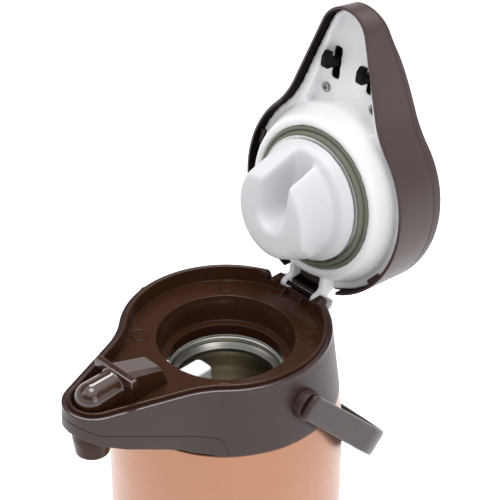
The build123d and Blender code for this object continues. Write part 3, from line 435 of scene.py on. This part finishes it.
def cast_silicone(name, colour, rough=0.45):
    """Moulded silicone: dull skin with a slight bloom, a little light in its edges."""
    # Clouds of 11 mm in the colour, and a bloom in 2 mm specks.
    return uneven_finish(
        name,
        colour,
        0.05,
        tone=(90.0, 2.0, 0.5),
        gloss=(500.0, 3.0, 0.6),
        rough=(rough - 0.06, rough + 0.08),
        bump=(0.15, 0.1 * MM),
        IOR=SILICONE_IOR,
        Subsurface_Weight=0.1,
        Subsurface_Radius=(2 * MM, 2 * MM, 2 * MM),
        Subsurface_Scale=1.0,
    )


# Finishes by the record's slot or the detail's own name, filled by make_finishes.
FINISH = {}


def make_finishes(colours):
    """One finish for each material slot of the record, and a few for details."""
    brown, deck = tuple(colours.brown), tuple(colours.deck_brown)
    white, steel = tuple(colours.white), tuple(colours.steel)
    shoulder = grained_plastic("grained_shoulder_pp", brown, 0.4)
    flask = turned_steel("spun_flask_steel", steel, 0.33)
    FINISH.update(
        copper_casing=lacquered_copper_steel(tuple(colours.copper)),
        brown_satin=grained_plastic("grained_brown_pp", brown, 0.4),
        # The lid's lighter brown is painted light.
        lid_brown=grained_plastic("grained_lid_pp", tuple(colours.lid_brown), 0.36),
        shoulder_brown=polished_over(shoulder, (RIM - 3.0) * MM),
        handle_brown=polished_plastic("satin_handle_pp", brown, 0.3),
        hood_brown=polished_plastic("polished_hood_pp", deck, 0.07, 1.0),
        brown_gloss=polished_plastic("polished_brown_pp", deck, 0.1, 0.2),
        latch_black=polished_plastic("polished_latch_pp", linear("#0B0504"), 0.4, 0.1),
        # Near-black finish on the inner faces of the lid's wall: painted shade.
        lid_lining=polished_plastic("polished_lid_lining", linear("#0D0604"), 0.5, 0.05),
        dark_plastic=grained_plastic("grained_base_pp", linear("#2B2422"), 0.5),
        white_plastic=white_moulded_plastic("white_pp", white),
        # The stopper's greyer white is painted shade.
        stopper_white=white_moulded_plastic("stopper_pp", tuple(colours.stopper), 0.4),
        # Darker below the neck as painted shade deep inside the flask.
        flask_steel=shaded_below(flask, (RIM - 52.0) * MM, linear("#B4AD9C")),
        tube_steel=turned_steel("drawn_steel", linear("#B9B9B6"), 0.24, 90.0),
        # The hinge pin gets a darker colour than the drawn steel.
        pin_steel=turned_steel("blackened_pin", linear("#241E1B"), 0.35, 90.0),
        spring_steel=turned_steel("spring_wire", linear("#A0A09C"), 0.3, 60.0),
        screw_steel=turned_steel("screw_steel", linear("#8F8F8C"), 0.3, 200.0),
        green_silicone=cast_silicone("seal_silicone", tuple(colours.seal)),
        grey_silicone=cast_silicone("packing_silicone", linear("#A2A29B")),
        foot_rubber=cast_silicone("foot_rubber", linear("#1C1B1A"), 0.65),
    )


# ---------------------------------------------------------------- shaping

# Points of a solid's mesh that are nearer than this, in metres, are one point.
SAME_POINT = 2e-6
# An edge that turns more than this is rounded.
SHARP_ANGLE = math.radians(30.0)
# How much of its edge's length a rounding takes, with another one at the far end or
# without, and the share of the full radius under which it is left out.
SHARED_ROOM, FREE_ROOM = 0.45, 0.9
LEAST_ROUNDING = 0.15
# A rounded point may leave the solid's skin by this share of the radius.
STRAY_LIMIT = 0.35


def merged_grid(node):
    """Editable copy of a CAD node's mesh, with its loose triangles joined."""
    grid = bmesh.new()
    grid.from_mesh(frame["nodes"][node].data)
    bmesh.ops.remove_doubles(grid, verts=grid.verts, dist=SAME_POINT)
    return grid


def grid_object(grid, title):
    """Object at the origin that holds the grid, with smooth faces."""
    mesh = bpy.data.meshes.new(title)
    grid.to_mesh(mesh)
    grid.free()
    # Normals kept from the solid don't fit the new shape.
    normals = mesh.attributes.get("custom_normal")
    if normals:
        mesh.attributes.remove(normals)
    mesh.materials.clear()
    for face in mesh.polygons:
        face.use_smooth = True
        face.material_index = 0
    obj = bpy.data.objects.new(title, mesh)
    bpy.context.scene.collection.objects.link(obj)
    return obj


def settled(obj):
    """Turns what the modifiers make into the object's own mesh."""
    bpy.context.view_layer.update()
    made = bpy.data.meshes.new_from_object(
        obj.evaluated_get(bpy.context.evaluated_depsgraph_get())
    )
    obj.modifiers.clear()
    obj.data = made
    return obj


def adopt(obj, node, finish=None):
    """Gives a finished piece its material and its body, and hides the CAD node it stands
    for.
    """
    slot = SLOT_OF[node]
    obj.data.materials.clear()
    obj.data.materials.append(finish or FINISH[slot])
    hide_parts(node)
    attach(obj, BODY_OF[node])
    return obj


def softened(node, title, radius, segments=2, finish=None):
    """The CAD node with its sharp edges rounded as far as each edge has room."""
    grid = merged_grid(node)
    weights = grid.edges.layers.float.new("bevel_weight_edge")
    sharp = {
        e for e in grid.edges if e.is_manifold and e.calc_face_angle(0.0) > SHARP_ANGLE
    }
    width = radius * MM
    room = {}
    for vert in grid.verts:
        cut = sum(e in sharp for e in vert.link_edges)
        if not cut:
            continue
        room[vert] = width
        for edge in vert.link_edges:
            # A rounding takes nothing off the length of its own edge, but at a corner
            # where three or more meet they do.
            if edge in sharp and cut < 3:
                continue
            far = edge.other_vert(vert)
            shared = any(e in sharp for e in far.link_edges)
            share = SHARED_ROOM if shared else FREE_ROOM
            room[vert] = min(room[vert], share * edge.calc_length())
    for edge in sharp:
        share = min(room[v] for v in edge.verts) / width
        edge[weights] = share if share > LEAST_ROUNDING else 0.0
        edge.smooth = share > LEAST_ROUNDING
    skin = BVHTree.FromBMesh(grid)
    obj = grid_object(grid, title)
    bevel = obj.modifiers.new("round", "BEVEL")
    bevel.limit_method = "WEIGHT"
    bevel.width = width
    bevel.segments = segments
    bevel.use_clamp_overlap = False
    settled(obj)
    for vert in obj.data.vertices:
        near, _, _, gap = skin.find_nearest(vert.co)
        if gap > STRAY_LIMIT * width:
            vert.co = near
    weighted = obj.modifiers.new("shade", "WEIGHTED_NORMAL")
    weighted.keep_sharp = True
    weighted.mode = "FACE_AREA_WITH_ANGLE"
    return adopt(settled(obj), node, finish=finish)


def remoulded(node, title, voxel, rounds, finish=None):
    """The CAD node as a soft moulding: rebuilt on a fine grid and smoothed."""
    obj = grid_object(merged_grid(node), title)
    remesh = obj.modifiers.new("grid", "REMESH")
    remesh.mode = "VOXEL"
    remesh.voxel_size = voxel * MM
    remesh.use_smooth_shade = True
    smooth = obj.modifiers.new("soften", "SMOOTH")
    smooth.factor = 0.5
    smooth.iterations = rounds
    return adopt(settled(obj), node, finish=finish)


def lathed(profile, matrix, title, steps):
    """Closed profile of (radius, height) pairs in millimetres, turned about Z."""
    grid = bmesh.new()
    rings = []
    for i in range(steps):
        a = 2 * math.pi * i / steps
        rings.append(
            [grid.verts.new((r * math.cos(a), r * math.sin(a), h)) for r, h in profile]
        )
    count = len(profile)
    for i in range(steps):
        this, after = rings[i], rings[(i + 1) % steps]
        for k in range(count):
            j = (k + 1) % count
            grid.faces.new((this[k], after[k], after[j], this[j]))
    bmesh.ops.recalc_face_normals(grid, faces=grid.faces)
    grid.transform(matrix)
    return grid_object(grid, title)


def faceted(obj):
    """Gives a small hard piece flat faces, so that its edges stay crisp."""
    for face in obj.data.polygons:
        face.use_smooth = False
    return obj


def cross_head(title, radius, head, shank, length, arm):
    """Round screw head facing up, with a tapered cross recess, on its shank."""
    half, depth, taper = 0.16 * arm, 1.1, 0.6
    rim_width, rim_height = 0.5, 0.45
    corner = [(0.5 * arm, half), (half, half), (half, 0.5 * arm)]
    outline = []
    for turn in range(4):
        c, s = (1, 0, -1, 0)[turn], (0, 1, 0, -1)[turn]
        outline += [(x * c - y * s, x * s + y * c) for x, y in corner]
    # Each side of the cross is cut in three, so that the round head has enough points.
    fine = []
    for i, (x0, y0) in enumerate(outline):
        x1, y1 = outline[(i + 1) % len(outline)]
        fine += [(x0 + (x1 - x0) * t / 3, y0 + (y1 - y0) * t / 3) for t in range(3)]
    around = [math.atan2(y, x) for x, y in fine]
    grid = bmesh.new()
    layers = [
        [(x * taper, y * taper, -depth) for x, y in fine],
        [(x, y, 0.0) for x, y in fine],
    ]
    for r, z in (
        (radius - rim_width, 0.0),
        (radius, -rim_height),
        (radius, -head),
        (shank, -head),
        (shank, -head - length),
    ):
        layers.append([(r * math.cos(a), r * math.sin(a), z) for a in around])
    rows = [[grid.verts.new(Vector(p) * MM) for p in layer] for layer in layers]
    for low, high in zip(rows, rows[1:]):
        for i in range(len(low)):
            j = (i + 1) % len(low)
            grid.faces.new((low[i], high[i], high[j], low[j]))
    grid.faces.new(rows[0])
    grid.faces.new(reversed(rows[-1]))
    bmesh.ops.recalc_face_normals(grid, faces=grid.faces)
    return faceted(grid_object(grid, title))


def growing_tree(name, inputs):
    """Geometry node tree with named inputs; gives it with its input node."""
    tree = bpy.data.node_groups.new(name, "GeometryNodeTree")
    for label, kind, value in inputs:
        made = tree.interface.new_socket(label, in_out="INPUT", socket_type=kind)
        if value is not None:
            made.default_value = value
    tree.interface.new_socket("Geometry", in_out="OUTPUT", socket_type="NodeSocketGeometry")
    return tree, add_node(tree, "NodeGroupInput", place=(-900, 0))


def ended_tree(tree, start, geometry):
    """Makes what a tree has grown into one plain mesh of the given material."""
    solid = add_node(
        tree,
        "GeometryNodeRealizeInstances",
        links={"Geometry": geometry},
        place=(550, 0),
    )
    coat = add_node(
        tree,
        "GeometryNodeSetMaterial",
        links={"Geometry": solid.outputs[0], "Material": start.outputs["Material"]},
        place=(720, 0),
    )
    add_node(tree, "NodeGroupOutput", links={0: coat.outputs[0]}, place=(900, 0))
    return tree


def grown(title, tree, values, matrix):
    """Runs a geometry node tree with its values and moves the result into place."""
    obj = bpy.data.objects.new(title, bpy.data.meshes.new(title))
    bpy.context.scene.collection.objects.link(obj)
    maker = obj.modifiers.new("grow", "NODES")
    maker.node_group = tree
    for item in tree.interface.items_tree:
        if item.in_out == "INPUT" and item.name in values:
            maker[item.identifier] = values[item.name]
    settled(obj)
    obj.data.transform(matrix)
    if matrix.determinant() < 0:
        obj.data.flip_normals()
    return obj


def ring_tree():
    """Copies of one piece set evenly round a circle."""
    tree, start = growing_tree(
        "pieces_on_a_circle",
        (
            ("Piece", "NodeSocketObject", None),
            ("Count", "NodeSocketInt", 4),
            ("Radius", "NodeSocketFloat", 0.05),
            ("Start Angle", "NodeSocketFloat", 0.0),
            ("Material", "NodeSocketMaterial", None),
        ),
    )
    index = add_node(tree, "GeometryNodeInputIndex", place=(-900, 300))
    share = add_node(
        tree,
        "ShaderNodeMath",
        {"operation": "DIVIDE"},
        {0: index.outputs[0], 1: start.outputs["Count"]},
        place=(-700, 300),
    )
    angle = add_node(
        tree,
        "ShaderNodeMath",
        {"operation": "MULTIPLY_ADD"},
        {0: share.outputs[0], 2: start.outputs["Start Angle"]},
        place=(-500, 300),
    )
    angle.inputs[1].default_value = 2 * math.pi
    parts = []
    for operation in ("COSINE", "SINE"):
        wave = add_node(
            tree,
            "ShaderNodeMath",
            {"operation": operation},
            {0: angle.outputs[0]},
            place=(-300, 300),
        )
        scaled = add_node(
            tree,
            "ShaderNodeMath",
            {"operation": "MULTIPLY"},
            {0: wave.outputs[0], 1: start.outputs["Radius"]},
            place=(-150, 300),
        )
        parts.append(scaled.outputs[0])
    spot = add_node(
        tree, "ShaderNodeCombineXYZ", links={"X": parts[0], "Y": parts[1]}, place=(0, 300)
    )
    points = add_node(
        tree,
        "GeometryNodePoints",
        links={"Count": start.outputs["Count"], "Position": spot.outputs[0]},
        place=(150, 100),
    )
    piece = add_node(
        tree,
        "GeometryNodeObjectInfo",
        links={"Object": start.outputs["Piece"]},
        place=(0, -200),
    )
    copies = add_node(
        tree,
        "GeometryNodeInstanceOnPoints",
        links={"Points": points.outputs[0], "Instance": piece.outputs["Geometry"]},
        place=(350, 0),
    )
    return ended_tree(tree, start, copies.outputs[0])


def coil_tree():
    """Round wire wound into a helix."""
    tree, start = growing_tree(
        "coil_spring",
        (
            ("Turns", "NodeSocketFloat", 5.0),
            ("Coil Radius", "NodeSocketFloat", 0.011),
            ("Wire Radius", "NodeSocketFloat", 0.0008),
            ("Height", "NodeSocketFloat", 0.03),
            ("Material", "NodeSocketMaterial", None),
        ),
    )
    helix = add_node(
        tree,
        "GeometryNodeCurveSpiral",
        links={
            "Rotations": start.outputs["Turns"],
            "Start Radius": start.outputs["Coil Radius"],
            "End Radius": start.outputs["Coil Radius"],
            "Height": start.outputs["Height"],
        },
        place=(-300, 200),
        Resolution=36,
    )
    wire = add_node(
        tree,
        "GeometryNodeCurvePrimitiveCircle",
        links={"Radius": start.outputs["Wire Radius"]},
        place=(-300, -100),
        Resolution=12,
    )
    tube = add_node(
        tree,
        "GeometryNodeCurveToMesh",
        links={"Curve": helix.outputs["Curve"], "Profile Curve": wire.outputs["Curve"]},
        Fill_Caps=True,
    )
    return ended_tree(tree, start, tube.outputs[0])


def coil(node, tree, axis, turns, radius, wire):
    """Spring wound in place of a CAD node, as long along the axis as that node."""
    spots = [v.co.copy() for v in frame["nodes"][node].data.vertices]
    middle = sum(spots, Vector()) / len(spots)
    reach = [(p - middle).dot(axis) for p in spots]
    low, high = min(reach) + wire * MM, max(reach) - wire * MM
    place = Matrix.Translation(middle + axis * low)
    turn = axis.to_track_quat("Z", "Y").to_matrix().to_4x4()
    values = {
        "Turns": turns,
        "Coil Radius": radius * MM,
        "Wire Radius": wire * MM,
        "Height": high - low,
        "Material": FINISH["spring_steel"],
    }
    wound = grown(node + "_wire", tree, values, place @ turn)
    for face in wound.data.polygons:
        face.use_smooth = True
    return adopt(wound, node)


def shade_inside(obj, finish, least_facing=0.3):
    """Second finish on the faces of the lid's wall that look at its middle line: a
    near-black painted shade inside the lid.
    """
    obj.data.materials.append(finish)
    back = lid_matrix().inverted()
    for face in obj.data.polygons:
        spot = back @ face.center
        near_y = min(max(spot.y, LID_NOSE_Y), LID_MIDDLE_Y)
        middle = Vector((0, near_y, spot.z)) - spot
        facing = (back.to_3x3() @ face.normal).normalized()
        if facing.dot(middle.normalized()) > least_facing:
            face.material_index = 1


def pressed(obj):
    """Gives a spring or the bellows its own copy of its mesh."""
    back = lid_matrix().inverted()
    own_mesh(obj)


# ---------------------------------------------------------------- stage


class PotStageSettings(bpy.types.PropertyGroup):
    """Floor and camera."""

    floor_colour: colour_property("Floor colour", "Colour of the floor", "#EFEFF0")
    floor_size: bpy.props.FloatProperty(
        name="Floor size",
        description="Side of the floor",
        unit="LENGTH",
        default=12.0,
    )
    focal_length: bpy.props.FloatProperty(
        name="Focal length",
        description="Focal length of the camera in millimetres on a 36 mm sensor",
        unit="CAMERA",
        default=135.27,
    )


def area_lamp(name, place, size_x, size_y, watts):
    """Soft rectangular white lamp aimed at the pot."""
    data = bpy.data.lights.new(name, "AREA")
    data.shape = "RECTANGLE"
    data.size, data.size_y = size_x, size_y
    data.energy = watts
    lamp = bpy.data.objects.new(name, data)
    lamp.location = place
    aim = Vector(LAMP_TARGET) - Vector(place)
    lamp.rotation_euler = aim.to_track_quat("-Z", "Y").to_euler()
    bpy.context.scene.collection.objects.link(lamp)


def paper_floor(colour):
    """Matte paper: it keeps the pot's shadow and looks white to camera and gloss."""
    made = bpy.data.materials.new("studio_floor")
    made.use_nodes = True
    tree = made.node_tree
    tree.nodes.clear()
    path = add_node(tree, "ShaderNodeLightPath", place=(-600, 200))
    seen = path.outputs["Is Camera Ray"]
    for i, ray in enumerate(("Is Glossy Ray", "Is Transmission Ray")):
        seen = add_node(
            tree,
            "ShaderNodeMath",
            {"operation": "MAXIMUM"},
            {0: seen, 1: path.outputs[ray]},
            place=(-300 + 200 * i, 200),
        ).outputs[0]
    matte = add_node(tree, "ShaderNodeBsdfDiffuse", place=(0, -100), Color=colour)
    glow = add_node(
        tree, "ShaderNodeEmission", place=(0, -250), Color=WHITE, Strength=FLOOR_GLOW
    )
    lit = add_node(
        tree,
        "ShaderNodeAddShader",
        links={0: matte.outputs["BSDF"], 1: glow.outputs["Emission"]},
        place=(200, -200),
    )
    pick = add_node(
        tree,
        "ShaderNodeMixShader",
        links={"Fac": seen, 1: matte.outputs["BSDF"], 2: lit.outputs["Shader"]},
        place=(400, 0),
    )
    add_node(
        tree,
        "ShaderNodeOutputMaterial",
        links={"Surface": pick.outputs["Shader"]},
        place=(600, 0),
    )
    return made


def studio_world():
    """Room that lights the pot by ROOM_LIGHT, behind a plain white to the camera."""
    world = bpy.data.worlds.new("studio")
    world.use_nodes = True
    tree = world.node_tree
    tree.nodes.clear()
    path = add_node(tree, "ShaderNodeLightPath", place=(-600, 200))
    coords = add_node(tree, "ShaderNodeTexCoord", place=(-900, 0))
    split = add_node(
        tree,
        "ShaderNodeSeparateXYZ",
        links={"Vector": coords.outputs["Generated"]},
        place=(-700, 0),
    )
    height = add_node(
        tree, "ShaderNodeValToRGB", links={"Fac": split.outputs["Z"]}, place=(-500, 0)
    )
    stops = height.color_ramp.elements
    while len(stops) < len(ROOM_LIGHT):
        stops.new(0.5)
    for stop, (place, level) in zip(stops, ROOM_LIGHT):
        stop.position = place
        stop.color = (level, level, level, 1.0)
    room = add_node(
        tree,
        "ShaderNodeBackground",
        links={"Color": height.outputs["Color"]},
        place=(0, 100),
        Strength=ROOM_STRENGTH,
    )
    paper = add_node(
        tree, "ShaderNodeBackground", place=(0, -100), Color=WHITE, Strength=1.0
    )
    pick = add_node(
        tree,
        "ShaderNodeMixShader",
        links={
            "Fac": path.outputs["Is Camera Ray"],
            1: room.outputs["Background"],
            2: paper.outputs["Background"],
        },
        place=(300, 0),
    )
    add_node(
        tree,
        "ShaderNodeOutputWorld",
        links={"Surface": pick.outputs["Shader"]},
        place=(600, 0),
    )
    return world


class AIRPOT_OT_stage(bpy.types.Operator):
    """Builds the floor, the lamps and the camera"""

    bl_idname = "airpot.stage"
    bl_label = "Stage"

    def execute(self, context):
        scene = context.scene
        settings = scene.pot_stage
        data = bpy.data.cameras.new("camera")
        data.lens = settings.focal_length
        data.sensor_width = SENSOR_MM
        data.clip_start, data.clip_end = 0.05, 50.0
        camera = bpy.data.objects.new("camera", data)
        camera.location = CAMERA_SPOT
        camera.rotation_euler = tuple(math.radians(a) for a in CAMERA_TURN)
        scene.collection.objects.link(camera)
        scene.camera = camera
        scene.view_settings.view_transform = "Standard"

        half = settings.floor_size / 2
        mesh = bpy.data.meshes.new("floor")
        mesh.from_pydata(
            [(-half, -half, 0), (half, -half, 0), (half, half, 0), (-half, half, 0)],
            [],
            [(0, 1, 2, 3)],
        )
        mesh.materials.append(paper_floor(tuple(settings.floor_colour)))
        floor = bpy.data.objects.new("floor", mesh)
        scene.collection.objects.link(floor)

        scene.world = studio_world()
        for name, lamp in LAMPS.items():
            area_lamp(name, *lamp)
        return {"FINISHED"}


class AIRPOT_OT_finishes(bpy.types.Operator):
    """Makes the finishes and gives each solid its own"""

    bl_idname = "airpot.finishes"
    bl_label = "Finishes"

    def execute(self, context):
        make_finishes(context.scene.pot_colours)
        for name, obj in frame["nodes"].items():
            obj.data.materials.clear()
            obj.data.materials.append(FINISH[SLOT_OF[name]])
        frame["nodes"]["hinge_pin"].data.materials[0] = FINISH["pin_steel"]
        return {"FINISHED"}


# ---------------------------------------------------------------- pieces


class PotSizes(bpy.types.PropertyGroup):
    """Sizes of the details, in metres."""

    edge: bpy.props.FloatProperty(
        name="Edge radius",
        description="Radius on the outer edges of the brown mouldings",
        unit="LENGTH",
        default=0.5 * MM,
    )
    grip: bpy.props.FloatProperty(
        name="Handle grid",
        description="Grid on which the soft edges of the carrying handle are formed",
        unit="LENGTH",
        default=0.85 * MM,
    )
    recess: bpy.props.FloatProperty(
        name="Cross recess",
        description="Length of the arms of the cross in a screw head",
        unit="LENGTH",
        default=3.6 * MM,
    )
    pump_turns: bpy.props.FloatProperty(
        name="Pump spring turns",
        description="Number of turns of the pump's return spring",
        default=5.0,
    )


class AIRPOT_OT_shoulder(bpy.types.Operator):
    """Shoulder, spout cover, deck pan and nozzle with rounded edges"""

    bl_idname = "airpot.shoulder"
    bl_label = "Shoulder and deck"

    def execute(self, context):
        edge = context.scene.pot_sizes.edge / MM
        brown = FINISH["shoulder_brown"]
        softened("shoulder_housing", "shoulder_moulding", edge, finish=brown)
        softened("spout_cover", "spout_underside", edge)
        softened("neck_deck", "deck_pan", edge)
        softened("spout_nozzle", "nozzle", radius=0.4)
        return {"FINISHED"}


class AIRPOT_OT_lid(bpy.types.Operator):
    """Lid wall, top cover, inner plate and push plate with rounded edges"""

    bl_idname = "airpot.lid"
    bl_label = "Lid"

    def execute(self, context):
        edge = context.scene.pot_sizes.edge / MM
        # The lid's wall and cover take the lighter brown of painted light.
        brown = FINISH["lid_brown"]
        wall = softened("lid_shell", "lid_wall", edge, finish=brown)
        # The inner faces of the wall get a near-black painted shade.
        shade_inside(wall, FINISH["lid_lining"])
        softened("lid_top_cover", "lid_cover", edge, finish=brown)
        remoulded("lid_inner_plate", "inner_plate", voxel=0.95, rounds=4)
        softened("push_plate", "push_button", radius=0.8)
        return {"FINISHED"}


class AIRPOT_OT_stopper(bpy.types.Operator):
    """Stopper rebuilt as one soft moulding"""

    bl_idname = "airpot.stopper"
    bl_label = "Stopper"

    def execute(self, context):
        # The stopper takes the greyer white of painted shade.
        white = FINISH["stopper_white"]
        remoulded("stopper", "stopper_moulding", voxel=0.75, rounds=90, finish=white)
        return {"FINISHED"}


class AIRPOT_OT_pipework(bpy.types.Operator):
    """Cover over the pipe and head of the dip tube as soft mouldings"""

    bl_idname = "airpot.pipework"
    bl_label = "Pipe cover and tube head"

    def execute(self, context):
        brown = FINISH["hood_brown"]
        remoulded("pipe_cover", "pipe_hood", voxel=0.4, rounds=14, finish=brown)
        remoulded("dip_tube_head", "tube_head", voxel=0.45, rounds=60)
        return {"FINISHED"}


class AIRPOT_OT_latch(bpy.types.Operator):
    """Latch lever with rounded claws"""

    bl_idname = "airpot.latch"
    bl_label = "Latch"

    def execute(self, context):
        softened("latch_lever", "latch", radius=0.5, finish=FINISH["latch_black"])
        return {"FINISHED"}


class AIRPOT_OT_handle(bpy.types.Operator):
    """Carrying handle and the collars it turns on"""

    bl_idname = "airpot.handle"
    bl_label = "Handle"

    def execute(self, context):
        grid = context.scene.pot_sizes.grip / MM
        brown = FINISH["handle_brown"]
        remoulded("handle", "bail_handle", voxel=grid, rounds=30, finish=brown)
        softened("pivot_collars", "handle_collars", radius=0.6, segments=3)
        return {"FINISHED"}


class AIRPOT_OT_base(bpy.types.Operator):
    """Base ring and swivel plate with rounded edges"""

    bl_idname = "airpot.base"
    bl_label = "Base"

    def execute(self, context):
        softened("base_cover", "base_ring", radius=0.8)
        softened("swivel_base", "swivel_plate", radius=0.5)
        return {"FINISHED"}


class AIRPOT_OT_gasket(bpy.types.Operator):
    """Seal ring turned with its two lips and the groove between them"""

    bl_idname = "airpot.gasket"
    bl_label = "Seal ring"

    def execute(self, context):
        ring = lathed(SEAL_PROFILE, lid_matrix(), "seal_ring", steps=128)
        adopt(ring, "lid_gasket")
        return {"FINISHED"}


class AIRPOT_OT_screws(bpy.types.Operator):
    """Cross-head screws of the lid and the base, and the plugs over the deck screws"""

    bl_idname = "airpot.screws"
    bl_label = "Screws"

    def execute(self, context):
        arm = context.scene.pot_sizes.recess / MM
        tree = ring_tree()
        steel = FINISH["screw_steel"]
        facing_down = Matrix.Rotation(math.pi, 4, "X")
        in_millimetres = Matrix.Scale(1 / MM, 4)

        head = cross_head("plate_screw_head", 3.2, 1.55, 1.45, 11.0, arm)
        spot = Matrix.Translation((0, PLATE_SCREW_Y, PLATE_SCREW_H))
        place = lid_matrix() @ spot @ facing_down @ in_millimetres
        plate = {
            "Piece": head,
            "Count": 2,
            "Radius": PLATE_SCREW_RADIUS * MM,
            "Material": steel,
        }
        adopt(grown("plate_screw_set", tree, plate, place), "plate_screws")
        bpy.data.objects.remove(head)

        head = cross_head("base_screw_head", 2.95, 1.75, 1.45, 17.8, arm)
        place = Matrix.Translation((0, 0, BASE_SCREW_Z * MM)) @ facing_down
        base = {
            "Piece": head,
            "Count": 4,
            "Radius": BASE_SCREW_RADIUS * MM,
            "Start Angle": FIRST_OF_FOUR,
            "Material": steel,
        }
        adopt(grown("base_screw_set", tree, base, place), "base_screws")
        bpy.data.objects.remove(head)

        cap = faceted(lathed(CAP_PROFILE, Matrix.Scale(MM, 4), "cap_piece", steps=48))
        place = Matrix.Translation((0, 0, (RIM + CAP_H) * MM))
        caps = {
            "Piece": cap,
            "Count": 4,
            "Radius": CAP_RADIUS * MM,
            "Start Angle": FIRST_OF_FOUR,
            "Material": FINISH["brown_gloss"],
        }
        adopt(grown("screw_plugs", tree, caps, place), "deck_screw_caps")
        bpy.data.objects.remove(cap)
        return {"FINISHED"}


class AIRPOT_OT_springs(bpy.types.Operator):
    """Return spring of the pump and the spring of the latch, wound from round wire"""

    bl_idname = "airpot.springs"
    bl_label = "Springs"

    def execute(self, context):
        tree = coil_tree()
        turns = context.scene.pot_sizes.pump_turns
        up = (lid_point(0, 0, 1) - lid_point(0, 0, 0)).normalized()
        pressed(coil("bellows_spring", tree, up, turns, radius=11.0, wire=0.8))
        across = Vector((1, 0, 0))
        coil("latch_spring", tree, across, turns=5.0, radius=2.4, wire=0.45)
        return {"FINISHED"}


class AIRPOT_OT_bellows(bpy.types.Operator):
    """Folded bellows of the pump with rounded edges"""

    bl_idname = "airpot.bellows"
    bl_label = "Bellows"

    def execute(self, context):
        pressed(softened("bellows", "folded_bellows", radius=0.3))
        return {"FINISHED"}


class AIRPOT_PT_panel(bpy.types.Panel):
    """Lists the stage and the pieces"""

    bl_label = "Air Pot"
    bl_idname = "AIRPOT_PT_panel"
    bl_space_type = "VIEW_3D"
    bl_region_type = "UI"
    bl_category = "Air Pot"

    def draw(self, context):
        column = self.layout.column()
        for name in PIECES:
            column.operator(name)
        scene = context.scene
        for group in (scene.pot_stage, scene.pot_colours, scene.pot_sizes):
            for name in type(group).__annotations__:
                column.prop(group, name)


CLASSES = (
    PotStageSettings,
    PotColours,
    PotSizes,
    AIRPOT_OT_stage,
    AIRPOT_OT_finishes,
    AIRPOT_OT_shoulder,
    AIRPOT_OT_lid,
    AIRPOT_OT_stopper,
    AIRPOT_OT_pipework,
    AIRPOT_OT_latch,
    AIRPOT_OT_handle,
    AIRPOT_OT_base,
    AIRPOT_OT_gasket,
    AIRPOT_OT_screws,
    AIRPOT_OT_springs,
    AIRPOT_OT_bellows,
    AIRPOT_PT_panel,
)
PIECES = tuple(cls.bl_idname for cls in CLASSES if issubclass(cls, bpy.types.Operator))


def register():
    for cls in CLASSES:
        bpy.utils.register_class(cls)
    bpy.types.Scene.pot_stage = bpy.props.PointerProperty(type=PotStageSettings)
    bpy.types.Scene.pot_colours = bpy.props.PointerProperty(type=PotColours)
    bpy.types.Scene.pot_sizes = bpy.props.PointerProperty(type=PotSizes)


def unregister():
    del bpy.types.Scene.pot_sizes
    del bpy.types.Scene.pot_colours
    del bpy.types.Scene.pot_stage
    for cls in reversed(CLASSES):
        bpy.utils.unregister_class(cls)


def main():
    register()
    bpy.ops.airpot.stage()
    bpy.ops.airpot.finishes()
    bpy.ops.airpot.shoulder()
    bpy.ops.airpot.lid()
    bpy.ops.airpot.stopper()
    bpy.ops.airpot.pipework()
    bpy.ops.airpot.latch()
    bpy.ops.airpot.handle()
    bpy.ops.airpot.base()
    bpy.ops.airpot.gasket()
    bpy.ops.airpot.screws()
    bpy.ops.airpot.springs()
    bpy.ops.airpot.bellows()


if __name__ == "__main__":
    main()
